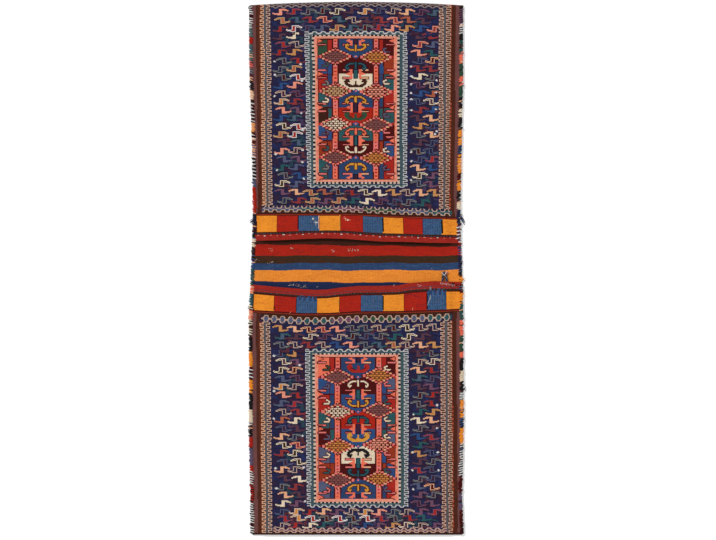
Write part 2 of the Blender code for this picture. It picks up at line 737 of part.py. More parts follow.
def yarn_ends(materials):
    """Ends of the lacing yarn that stand out of the seams and droop to the ground."""
    for name, side, share, reach in YARN_ENDS:
        y = share * TOP
        edge = side * (BAG_WIDTH / 2 - edge_inset(side, y) + FIT + YARN_END_RADIUS)
        points = []
        for i in range(YARN_STEPS + 1):
            t = i / YARN_STEPS
            drop = smooth(t) * (2 * YARN - YARN_END_RADIUS)
            along_side = YARN_END_LENGTH * math.sin(t * YARN_END_BEND)
            out = edge + side * t * t * reach
            points.append((out, bowed(out, y) - along_side, 2 * YARN - drop))
        yarn_tube(name, points, YARN_END_RADIUS, materials["black"])


def closure_loop_stub(materials):
    """A loop of cord left on the bridge near the lower pouch's mouth."""
    x = BAG_WIDTH / 2 - LOOP_FROM_SIDE
    y = LOWER_DEPTH - TOP + LOOP_FROM_MOUTH
    z = CLOTH + FIT + LOOP_CORD_RADIUS + base(x)
    points = []
    for i in range(LOOP_STEPS + 1):
        turn = LOOP_TURN * (i / LOOP_STEPS - 0.5)
        points.append((x + LOOP_WIDTH / 2 * math.sin(turn),
                       y + LOOP_LENGTH / 2 * math.cos(turn), z))
    yarn_tube("closure_loop_stub", points, LOOP_CORD_RADIUS, materials["slate"])


def wool_materials():
    materials = {}
    for name, rgb in WOOL.items():
        material = bpy.data.materials.new(f"{name} wool")
        material.use_nodes = True
        shader = material.node_tree.nodes["Principled BSDF"]
        colour = [(c / 255) ** 2.2 for c in rgb]
        shader.inputs["Base Color"].default_value = (*colour, 1)
        shader.inputs["Roughness"].default_value = 0.9
        shader.inputs["Metallic"].default_value = 0
        material.diffuse_color = (*colour, 1)
        materials[name] = material
    return materials


def centred():
    """Puts the origin in the middle of the bag's footprint, at the height it rests on."""
    bpy.context.view_layer.update()
    parts = list(bpy.data.collections["saddlebag"].objects)
    corners = [corner for part in parts for corner in part.bound_box]
    x, y = ((min(c[a] for c in corners) + max(c[a] for c in corners)) / 2 for a in (0, 1))
    for part in parts:
        part.location = (-x, -y, 0)


def main():
    for obj in list(bpy.data.objects):
        bpy.data.objects.remove(obj)
    bpy.context.scene.collection.children.link(bpy.data.collections.new("saddlebag"))
    materials = wool_materials()
    woven_cloth(whole_chart(), materials)
    side_seams(materials)
    yarn_ends(materials)
    closure_loop_stub(materials)
    centred()


main()
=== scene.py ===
import math
import random

import bmesh
import bpy
import numpy as np
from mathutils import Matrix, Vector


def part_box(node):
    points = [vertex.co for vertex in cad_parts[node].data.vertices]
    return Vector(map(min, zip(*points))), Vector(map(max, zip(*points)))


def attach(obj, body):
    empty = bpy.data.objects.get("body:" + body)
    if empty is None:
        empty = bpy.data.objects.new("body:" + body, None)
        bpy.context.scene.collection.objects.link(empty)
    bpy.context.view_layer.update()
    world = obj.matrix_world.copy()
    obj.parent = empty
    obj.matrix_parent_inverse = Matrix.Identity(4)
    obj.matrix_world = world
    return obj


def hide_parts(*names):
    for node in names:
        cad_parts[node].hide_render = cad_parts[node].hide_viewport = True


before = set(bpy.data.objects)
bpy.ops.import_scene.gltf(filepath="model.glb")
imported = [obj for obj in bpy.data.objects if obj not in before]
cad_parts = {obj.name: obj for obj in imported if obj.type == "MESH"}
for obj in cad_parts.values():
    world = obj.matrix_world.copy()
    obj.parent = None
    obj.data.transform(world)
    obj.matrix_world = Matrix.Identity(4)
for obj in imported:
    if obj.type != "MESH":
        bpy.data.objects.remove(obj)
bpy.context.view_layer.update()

# One stitch of the pattern is 2.629 mm. The pattern is counted in stitches: x from the left, with the
# cloth's left edge at 250.2, and y down the bag.
stitch = 0.002629
middleX, middleY = 356.4, 268.3  # the stitch at the middle of the bag
topFold, bottomFold = 2, 534.5
cellWide, cellHigh, chartColumns = 0.8045, 0.72, 264  # one step of the chart, in stitches
widePitch, finePitch, lineThick = 8.2, 4.1, 0.8  # of the meanders, in stitches
bag = {  # metres; the stations run from -1 at the bottom to 1 at the top, with how far each edge draws in
    "width": 0.564, "upperDepth": 0.632, "bridge": 0.115, "lowerDepth": 0.653,
    "cloth": 0.003, "hollow": 0.009, "bow": 0.009, "seamGap": 0.0008,
    "yarn": 0.0025, "fit": 0.0003, "lacing": 0.0155, "slope": 0.0235,
    "stations": (-1, -0.85, -0.6, -0.17, 0.02, 0.2, 0.5, 0.75, 1),
    "leftInsets": (0.006, 0.006, 0.002, 0.002, 0.008, 0.011, 0.007, 0.001, 0.0),
    "rightInsets": (0.001, 0.005, 0.001, 0.002, 0.005, 0.012, 0.008, 0.005, 0.003),
}
lift = bag["yarn"] + bag["fit"]
clothWidth = bag["width"] - 2 * lift
halfCloth = clothWidth / 2
length = bag["upperDepth"] + bag["bridge"] + bag["lowerDepth"]
top = length / 2
foldRadius = bag["cloth"] + bag["hollow"] / 2
upperFront = bag["upperDepth"] - foldRadius
foldArc = math.pi * foldRadius
backStart = upperFront + foldArc
backEnd = backStart + length - 2 * foldRadius
lowerStart = backEnd + foldArc
strip = lowerStart + bag["lowerDepth"] - foldRadius
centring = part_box("woven_cloth")[0].x + halfCloth

# Where the mouths wander, in stitches towards the top: at the lip, and at the far side of the squares
mouths = {
    "upperLip": ((0, 1.6), (0.12, 2.1), (0.26, 3.5), (0.36, 4.1), (0.44, 3.6), (0.54, 2.0), (0.62, 0.8),
                 (0.75, 0.4), (0.85, -0.5), (1, -0.8)),
    "upperBand": ((0, 1.4), (0.47, 1.4), (0.68, -0.7), (1, -2.6)),
    "lowerLip": ((0, 1.7), (0.1, -0.4), (0.2, -2.1), (0.3, -3.7), (0.36, -3.3), (0.42, -1.4), (0.5, 0.2),
                 (0.6, 0.3), (0.7, 1.0), (0.76, 3.4), (0.87, 5.1), (0.93, 4.6), (1, 4.4)),
    "lowerBand": ((0, 1.6), (0.12, 0.2), (0.25, -1.7), (0.37, -1.4), (0.5, 0.2), (0.7, 0.5), (0.87, 1.6),
                  (1, 2.8)),
    "squares": 26, "waves": 36, "end": 56,
}

wool = {  # sRGB
    "navy": (36, 34, 64), "deep": (22, 22, 44), "plum": (62, 34, 54), "slate": (84, 90, 116),
    "blue": (46, 76, 124), "teal": (44, 86, 90), "leaf": (48, 76, 58), "grey": (120, 122, 120),
    "mauve": (112, 74, 96), "heather": (88, 56, 68), "cream": (228, 208, 180), "white": (222, 218, 214),
    "peach": (230, 170, 132), "pink": (226, 118, 112), "coral": (236, 114, 88), "orange": (240, 146, 44),
    "gold": (214, 148, 58), "rust": (150, 54, 30), "brick": (168, 40, 32), "red": (172, 36, 22),
    "lip": (158, 42, 32), "oxblood": (76, 16, 16), "brown": (62, 32, 22), "denim": (64, 96, 136),
    "ember": (186, 82, 48), "dust": (196, 166, 148), "royal": (40, 46, 88), "dusk": (54, 34, 54),
    "olive": (60, 42, 28), "black": (30, 24, 26), "indigo": (44, 66, 104), "amber": (238, 142, 52),
    "dun": (112, 70, 68), "umber": (78, 38, 26), "russet": (104, 50, 34), "ash": (88, 84, 88),
    "straw": (208, 168, 146), "linen": (206, 182, 164), "chalk": (200, 196, 194), "sea": (64, 84, 90),
    "salmon": (232, 148, 124), "fog": (146, 132, 124), "saffron": (226, 128, 44), "crimson": (150, 34, 30),
    "steel": (56, 84, 118), "brownish": (128, 80, 74), "wine": (90, 46, 50), "ochre": (204, 130, 62),
    "sand": (196, 156, 112), "maroon": (92, 44, 36), "slub": (62, 50, 60), "violet": (70, 56, 86),
    "claret": (88, 46, 54), "pine": (44, 64, 78), "inky": (32, 44, 78), "madder": (142, 54, 54),
    "clay": (170, 92, 68), "honey": (196, 138, 84),
}
woolNames = list(wool)
code = {name: i for i, name in enumerate(woolNames)}
raisedWool = {  # how far the figures of a wool stand out, as a share of the relief
    "cream": 1, "white": 1, "peach": 1, "pink": 1, "coral": 0.9, "gold": 0.9, "orange": 0.4, "rust": 0.5,
    "straw": 0.8, "linen": 1, "chalk": 1, "salmon": 0.9, "fog": 0.6,
}
relief = 0.00035


def linear(rgb):
    c = np.asarray(rgb, float) / 255
    return np.where(c <= 0.04045, c / 12.92, ((c + 0.055) / 1.055) ** 2.4)


def smooth(t):
    t = np.clip(t, 0, 1)
    return t * t * (3 - 2 * t)


def lineAt(points, t):
    places, values = zip(*points)
    return np.interp(t, places, values)


def inset(side, y):
    return np.interp(y / top, bag["stations"], bag["leftInsets"] if side < 0 else bag["rightInsets"])


def drawnIn(x, y):
    left = -halfCloth + inset(-1, y)
    right = halfCloth - inset(1, y)
    return left + (right - left) * (x + halfCloth) / clothWidth


def bowed(x, y):
    return y - bag["bow"] * (2 * x / bag["width"]) ** 2 * np.maximum(0, y / top) ** 4


def swell(x):
    return smooth((halfCloth - np.abs(x) - bag["lacing"]) / bag["slope"])


def mouthShift(which, x, w):
    share = 0.5 + x / clothWidth
    lip, band = lineAt(mouths[which + "Lip"], share), lineAt(mouths[which + "Band"], share)
    t = w / stitch
    atBand = lip + (band - lip) * smooth(t / mouths["squares"])
    fade = 1 - smooth((t - mouths["waves"]) / (mouths["end"] - mouths["waves"]))
    return stitch * atBand * fade


def ripple(x, y):  # the slack of the cloth where nothing holds it
    waves = np.sin(9.1 * x + 13 * y + 0.6) * np.sin(21 * y - 4.3 * x) + 0.6 * np.sin(31 * x + 17 * y + 2)
    return 0.0007 * waves * swell(x)


def lay(x, w, outer, raised=0.0):  # where a point of the flat strip lies once the strip is folded
    x, w = np.broadcast_arrays(np.asarray(x, float), np.asarray(w, float))
    thick, gap = bag["cloth"], bag["seamGap"] + (bag["hollow"] - bag["seamGap"]) * swell(x)
    base = lift * (1 - swell(x))
    proud = raised if outer else 0
    front = base + thick + gap + (thick + proud if outer else 0)
    reach = foldRadius + proud if outer else foldRadius - thick
    half = gap / 2 + (thick + proud if outer else 0)
    upperTurn, lowerTurn = (w - upperFront) / foldRadius, (lowerStart - w) / foldRadius
    places = [w < upperFront, w < backStart, w <= backEnd, w <= lowerStart]
    y = np.select(places, [
        top - bag["upperDepth"] + w + mouthShift("upper", x, w),
        top - foldRadius + reach * np.sin(upperTurn),
        top - foldRadius - (w - backStart),
        foldRadius - top - reach * np.sin(lowerTurn),
    ], bag["lowerDepth"] - top - (strip - w) + mouthShift("lower", x, strip - w))
    folded = base + thick + gap / 2
    z = np.select(places, [front, folded + half * np.cos(upperTurn), base + (0 if outer else thick),
                           folded + half * np.cos(lowerTurn)], front)
    onFront = (w < upperFront - 0.02) | (w > lowerStart + 0.02)
    z = z + np.where(onFront, ripple(x, y), 0)
    return np.stack([drawnIn(x, y) + centring, bowed(x, y), z], axis=-1)


# The pattern, as counted threads
flecks = {"red": "crimson", "orange": "saffron", "amber": "saffron", "lip": "crimson", "indigo": "steel",
          "olive": "umber", "brick": "crimson"}


def flecked(cells, seed, share=0.16):  # short weft lines of a neighbouring shade, as in any handspun yarn
    chance = np.random.default_rng(seed)
    rows, columns = cells.shape
    marks = np.zeros((rows, columns))
    for shift in (1, 2, 3, 4, 5, 6):
        marks += np.roll(chance.random((rows, columns)), shift, axis=1) ** 3
    for reach in (1, 2, 4):
        marks = (marks + np.roll(marks, reach, axis=1)) / 2
    marked = marks > np.quantile(marks, 1 - share)
    for colour, other in flecks.items():
        cells = np.where(marked & (cells == code[colour]), code[other], cells)
    return cells


class Drawing:
    def __init__(self, first, last, ground, lean):  # y of both ends, in stitches
        self.first = min(first, last)
        self.rows = int(round(abs(last - first) / cellHigh))
        self.cells = np.full((self.rows, chartColumns), code[ground])
        flat = ((np.arange(chartColumns) + 0.5) * cellWide * stitch - halfCloth)[None, :]
        self.y = (self.first + (np.arange(self.rows) + 0.5) * cellHigh)[:, None]
        self.x = middleX + drawnIn(flat, (middleY - self.y) * stitch) / stitch
        self.y = self.y + 0 * self.x
        amount = np.clip((self.y - (first + last) / 2) / 90, -1, 1) * smooth((np.abs(self.y - first) - 28) / 12)
        self.x = self.x - lineAt(lean, self.x) * amount  # the weaver's uprights lean a little
        self.chance = np.random.default_rng(int(first))

    def at(self, x, y):  # the row and column of a place
        row = int(round((y - self.first) / cellHigh))
        return row, int(np.argmin(np.abs(self.x[min(max(row, 0), self.rows - 1)] - x)))

    def paint(self, mask, colour):
        self.cells[np.broadcast_to(mask, self.cells.shape)] = code[colour]

    def between(self, x0, x1, y0, y1):
        return (self.x > x0) & (self.x < x1) & (self.y > y0) & (self.y < y1)

    def block(self, x0, x1, y0, y1, colour):
        self.paint(self.between(x0, x1, y0, y1), colour)

    def diamond(self, x, y, wide, high, colour):
        self.paint((np.abs(self.x - x) / wide + np.abs(self.y - y) / high) < 1, colour)

    def stroke(self, points, thick, colour, edge=None):
        if edge:
            self.stroke(points, thick + 1.7, edge)
        for (ax, ay), (bx, by) in zip(points, points[1:]):
            dx, dy = bx - ax, by - ay
            t = np.clip(((self.x - ax) * dx + (self.y - ay) * dy) / (dx * dx + dy * dy), 0, 1)
            self.paint(np.hypot(self.x - ax - t * dx, self.y - ay - t * dy) < thick / 2, colour)

    def wedge(self, x, y, reach, height, colour):  # a triangle whose base is upright at x
        t = (self.x - x) / reach
        self.paint((t > 0) & (t < 1) & (np.abs(self.y - y) < height / 2 * (1 - t)), colour)

    def wave(self, x0, x1, y0, y1, upright, period, phase, thick, line, before=None, after=None, square=2.2):
        # a meander; before and after are the colours on its two sides, square how steep it turns
        along, across = (self.y, self.x) if upright else (self.x, self.y)
        low, high = (x0, x1) if upright else (y0, y1)
        middle, swing = (low + high) / 2, (high - low - thick) / 2

        def place(t):
            return middle + swing * np.clip(square * (np.abs(((t + phase) / period) % 1 * 4 - 2) - 1), -1, 1)

        sides = place(along - cellHigh / 2), place(along + cellHigh / 2)
        ends = np.minimum(*sides), np.maximum(*sides)
        region = self.between(x0, x1, y0, y1)
        if before:
            self.paint(region & (across < ends[0]), before)
        if after:
            self.paint(region & (across > ends[1]), after)
        self.paint(region & (across > ends[0] - thick / 2) & (across < ends[1] + thick / 2), line)

    def teeth(self, x0, x1, y0, y1, upright, pitch, tooth, ground, share=0.55):
        along = self.y if upright else self.x
        region = self.between(x0, x1, y0, y1)
        self.paint(region, ground)
        self.paint(region & ((along / pitch) % 1 < share), tooth)


hookArt = ("....########........",
           "..##########........",
           "######..####........",
           "##......####........",
           "........####........",
           "........####......##",
           "........############",
           "........##########..",
           "........######......")
thin = np.array([[c == "#" for c in row] for row in hookArt])
wide = thin.copy()
wide[:, 1:] |= thin[:, :-1]


def stamp(drawing, art, row, column, colour):
    for i, j in np.argwhere(art):
        if 0 <= row + i < drawing.rows and 0 <= column + j < chartColumns:
            drawing.cells[row + i, column + j] = code[colour]


def hook(drawing, x, y, turn, colours):  # a broken-armed figure, plain or outlined
    art = (wide if colours[1] else thin)[:, ::turn]
    row, column = (place - half for place, half in zip(drawing.at(x, y), (4, 9)))
    # Painted shadow: a deep copy of the figure one row lower, as shade under the raised figure
    stamp(drawing, art, row + 1, column, "deep")
    stamp(drawing, art, row, column, colours[0])
    if colours[1]:
        around = np.pad(art, 1)
        inner = around[:-2, 1:-1] & around[2:, 1:-1] & around[1:-1, :-2] & around[1:-1, 2:] & art
        stamp(drawing, inner, row, column, colours[1])


brightHooks = (("cream", None), ("linen", "ochre"), ("salmon", "madder"), ("peach", None), ("salmon", None),
               ("sand", "clay"), ("white", "brick"), ("cream", "heather"), ("peach", "oxblood"),
               ("cream", "olive"), ("dust", "navy"))  # the figure, and its core
quietHooks = (("slate", None), ("mauve", None), ("madder", None), ("clay", None), ("heather", None),
              ("honey", None), ("mauve", "plum"), ("slate", "navy"), ("grey", "plum"), ("madder", None),
              ("blue", None), ("teal", None), ("heather", "brick"), ("grey", "oxblood"), ("slate", "plum"),
              ("mauve", "brick"), ("teal", "slate"), ("dust", "plum"), ("grey", "navy"), ("heather", None),
              ("mauve", None))
shadowHooks = ("dusk", "violet", "claret", "pine", "plum", "royal")
hookRows = {
    "pitch": 13.9, "rightPitch": 12.8, "high": 8.4, "shadowDrop": 4.1, "indent": 2.5,
    "nextIsBright": 0.50, "againBright": 0.24, "rightLively": 0.6,  # how likely a bright figure is
    "left": (281.2, 303), "right": (417.6, 438), "all": (281.2, 436),
}


def hooks(drawing, x0, x1, ys, turn, seed, pitch=hookRows["pitch"], lively=1):
    chance = random.Random(seed)
    bright = chance.random() < 0.5
    for row, y in enumerate(ys):
        way = turn if row % 2 == 0 else -turn
        x = x0 + (hookRows["indent"] if row % 2 else 0) + chance.uniform(-0.6, 0.6)
        while x < x1:
            bright = chance.random() < hookRows["againBright" if bright else "nextIsBright"] * lively
            colours = chance.choice(brightHooks if bright else quietHooks)
            hook(drawing, x + pitch / 2, y + hookRows["shadowDrop"], -way, (chance.choice(shadowHooks), None))
            hook(drawing, x, y + chance.uniform(-0.3, 0.3), way, colours)
            x += pitch


def darkGround(drawing, y0, y1):  # navy that drifts towards blue and plum
    drawing.block(265, 446, y0, y1, "navy")
    sway = drawing.x * 0.31 + np.sin(drawing.y * 0.12) * 2
    drift = np.sin(sway) * np.sin(drawing.y * 0.43 + drawing.x * 0.05)
    drift = drift + 0.55 * drawing.chance.standard_normal(drawing.x.shape)
    inBorder = drawing.between(265, 446, y0, y1)
    drawing.paint(inBorder & (drift > 0.75), "royal")
    drawing.paint(inBorder & (drift < -0.75), "dusk")


def sideBands(drawing, y0, y1, left, right):  # the uprights that frame the hooked border
    def band(x, a, b, colour):
        drawing.block(x + a, x + b, y0, y1, colour)

    def meander(x, a, b, before, after, line="straw"):
        drawing.wave(x + a, x + b, y0, y1, True, finePitch, 0, lineThick, line, before, after, 8)

    band(left, -30, -14.4, "dun")
    band(left, -14.4, -11.2, "umber")
    band(left, -11.2, -10.2, "russet")
    meander(left, -10.2, -6.3, "umber", "ash", "peach")
    band(left, -6.3, -4.0, "ash")
    meander(left, -4.0, 0.1, "slub", "deep")
    meander(right, -0.1, 4.2, "deep", "maroon")
    band(right, 4.2, 6.9, "ash")
    meander(right, 6.9, 11.2, "umber", "umber")
    band(right, 11.2, 12.2, "russet")
    drawing.teeth(right + 11.0, right + 12.0, y0, y1, True, finePitch, "ember", "russet", 0.5)
    band(right, 12.0, 16.0, "umber")
    band(right, 16.0, 40, "dun")


def ring(drawing, x0, x1, y0, y1):  # white meander, grey green, cream teeth and coral, from outside in
    drawing.block(x0, x1, y0, y1, "sea")
    for a, b, colours in ((y0, y0 + 2.7, ("navy", "sea")), (y1 - 2.7, y1, ("sea", "navy"))):
        drawing.wave(x0, x1, a, b, False, widePitch, 0, lineThick, "chalk", *colours, 3)
    for a, b, colours in ((x0, x0 + 4.4, ("navy", "sea")), (x1 - 4.4, x1, ("sea", "navy"))):
        drawing.wave(a, b, y0 + 1.4, y1 - 1.4, True, finePitch, 0, lineThick, "chalk", *colours, 8)
    x0, x1, y0, y1 = x0 + 6.9, x1 - 7.6, y0 + 3.9, y1 - 4.0
    drawing.teeth(x0, x1, y0, y1, False, finePitch, "linen", "deep", 0.5)
    for a, b in ((x0, x0 + 2.4), (x1 - 2.4, x1)):
        drawing.teeth(a, b, y0 + 1, y1 - 1, True, finePitch, "linen", "deep")
    x0, x1, y0, y1 = x0 + 2.4, x1 - 2.5, y0 + 1.4, y1 - 1.6
    drawing.block(x0, x1, y0, y1, "salmon")
    drawing.teeth(x0 + 1.4, x0 + 2.2, y0 + 1, y1 - 1, True, 9.3, "coral", "salmon", 0.6)
    drawing.teeth(x1 - 2.2, x1 - 1.4, y0 + 1, y1 - 1, True, 7.4, "coral", "salmon", 0.6)
    drawing.block(x0 + 2.8, x1 - 2.8, y0 + 2.4, y1 - 2.5, "oxblood")
    return x0 + 3.2, x1 - 3.2, y0 + 2.9, y1 - 3.0


def lozenge(drawing, x, y, dash, gap):  # stepped, with rows of dashes inside
    dx, dy = np.abs(drawing.x - x), np.abs(drawing.y - y)
    wide, high, step = 17.4, 8.2, 1.44
    stepped = (np.floor(dy / step) + 0.5) * step
    edge = wide * (1 - stepped / high)
    body = (dx < edge + 1.4) & (dy < high + 0.7)
    drawing.paint(body, "oxblood")
    outline = (dx < edge) & (dy < high) & (dx > edge - 2.5)
    drawing.paint(outline, "pink")
    drawing.paint(outline & (np.floor(dy / step) % 2 == 1), "peach")
    drawing.paint((dx < edge - 2.5) & (dx > edge - 3.5), "brick")
    check = (dx < edge - 4.2) & (dy < high)
    row = (drawing.y - y) / 2.16 + 50.5
    drawing.paint(check, gap)
    across = (drawing.x - x + 2.01 * (np.floor(row) % 2) + 1.4) / 4.02
    drawing.paint(check & (row % 1 < 0.68) & (across % 1 < 0.72), dash)


def ladder(drawing, x, y0, y1):  # the upright between two compartments
    drawing.block(x - 3.6, x + 3.6, y0, y1, "oxblood")
    drawing.teeth(x - 2.3, x + 2.3, y0, y1, True, 20.2, "pink", "coral", 0.4)
    rungs = (drawing.y / 3.37) % 1 < 0.38
    drawing.paint(drawing.between(x - 0.9, x + 0.9, y0 + 1, y1 - 1) & rungs, "brick")


def comb(drawing, x, y, way, half=0):  # half: 1 keeps what is below y, -1 what is above, 0 both
    colour = "pink" if way < 0 else "peach"
    for side in (-1, 1):
        if half and side != half:
            continue
        ends = sorted((y, y + side * 4.8))
        drawing.stroke([(x + 2 * way, y + side * 4), (x + 9.4 * way, y + side * 4)], 1.2, colour, "oxblood")
        drawing.block(min(x, x + 2.6 * way), max(x, x + 2.6 * way), *ends, "coral")
    drawing.wedge(x + 2.8 * way, y, 4 * way, 3.4, "coral")


def anchor(drawing, x, y, way, colour, leafy=False):  # y is its bar; the arms curl the way given
    thick = 3.2 if leafy else 1.5
    half = [(5.4, 0), (9.2, 2.4), (10, 4.6), (8.2, 5.8), (7.4, 4.6)]
    shape = [(-a, b) for a, b in half[::-1]] + half
    edge = "deep" if colour in ("teal", "leaf", "brick") else "oxblood"
    drawing.stroke([(x + a, y + way * b) for a, b in shape], thick, colour, None if leafy else edge)
    drawing.stroke([(x, y), (x, y + way * 4.4)], 2.2, colour, None if leafy else edge)
    if leafy:
        slit = "cream" if colour in ("brown", "black") else "oxblood"
        for side in (-1, 1):
            drawing.stroke([(x + side * 3, y + way * 1.2), (x + side * 7.4, y + way * 3.4)], 0.9, slit)


def curl(drawing, x, y, way, colour):  # a small hooked leaf in the outer compartments
    shape = (-3, 1.6), (1.5, 1.8), (2.6, -0.6), (0, -2)
    drawing.stroke([(x + a * way, y + b) for a, b in shape], 1.3, colour, "oxblood")


def field(drawing, x0, x1, y0, y1, pouch):  # compartments between two ladders, lozenges and combs
    left, right = pouch["ladders"]
    drawing.block(x0, x1, y0, y1, "oxblood")
    rows = pouch["rows"]
    splits = [y0] + [(a[1] + b[1]) / 2 for a, b in zip(rows, rows[1:])] + [y1]
    middle = (left + right) / 2
    levels = [y0] + [r[1] for r in rows] + [y1]
    for i, (over, under) in enumerate(pouch["centre"]):
        high, split, low = levels[i], splits[i], levels[i + 1]
        drawing.block(left, right, high, split, over)
        drawing.block(left, right, split, low, under)
        for side, pairs in ((-1, pouch["leftGaps"]), (1, pouch["rightGaps"])):
            a, b = (x0, left - 3) if side < 0 else (right + 3, x1)
            drawing.block(a, b, high, split, pairs[i][0])
            drawing.block(a, b, split, low, pairs[i][1])
            near, far = (b - 4.6, b) if side < 0 else (a, a + 4.6)
            drawing.block(near, far, high, split, "blue" if i % 2 else "indigo")
            drawing.block(near, far, split, low, ("brick", "indigo", "teal", "rust", "indigo")[i])
            drawing.block(a, b, split - 0.5, split + 0.5, "oxblood")
            line = near if side < 0 else far
            drawing.block(line - 0.5, line + 0.5, high, low, "oxblood")
    for x in (left, right):
        ladder(drawing, x, y0, y1)
    for i, split in enumerate(splits):
        whole = 0 < i < len(splits) - 1
        at = split if whole else split + (1.5 if i == 0 else -1.5)
        half = 0 if whole else (1 if i == 0 else -1)
        if whole:
            drawing.block(middle - 12, middle + 12, split - 5.4, split + 5.4, pouch["centre"][i][0])
            drawing.block(middle - 12, middle + 12, split, split + 5.4, pouch["centre"][i][1])
        drawing.block(middle - 2.6, middle + 2.6, max(y0, split - 5.2), min(y1, split + 5.2), "deep")
        drawing.block(middle - 1.3, middle + 1.3, max(y0, split - 4.4), min(y1, split + 4.4),
                      "teal" if i % 2 else "plum")
        comb(drawing, middle - 3, at, -1, half)
        comb(drawing, middle + 3, at, 1, half)
        for edge, way in ((x0, 1), (x1, -1)):
            drawing.wedge(edge, at, 6.4 * way, 6.0, "oxblood")
            drawing.wedge(edge, at, 5.0 * way, 4.0, "coral")
            for side in (-1, 1):
                if not half or side == half:
                    arm = [(edge, at + side * 3.9), (edge + 7 * way, at + side * 3.7)]
                    drawing.stroke(arm, 1.2, "pink", "oxblood")
    for parts in pouch["anchors"]:
        anchor(drawing, middle, *parts)
    for leftY, leftColour, rightY, rightColour in pouch["curls"]:
        curl(drawing, pouch["curlX"][0], leftY, 1, leftColour)
        curl(drawing, pouch["curlX"][1], rightY, -1, rightColour)
    for x, y, fillLeft, fillRight in rows:
        lozenge(drawing, x, y, *fillLeft)
        lozenge(drawing, x + right - left, y + pouch["drop"], *fillRight)
        drawing.diamond(middle, y, 3.4, 2.2, "blue")
        drawing.diamond(middle, y, 1.4, 1.1, "pink")
        for x in (x0 + 0.8, x1 - 0.8):
            drawing.paint((np.abs(drawing.x - x) < 1.2) & (np.abs(drawing.y - y) < 1.1), "brick")


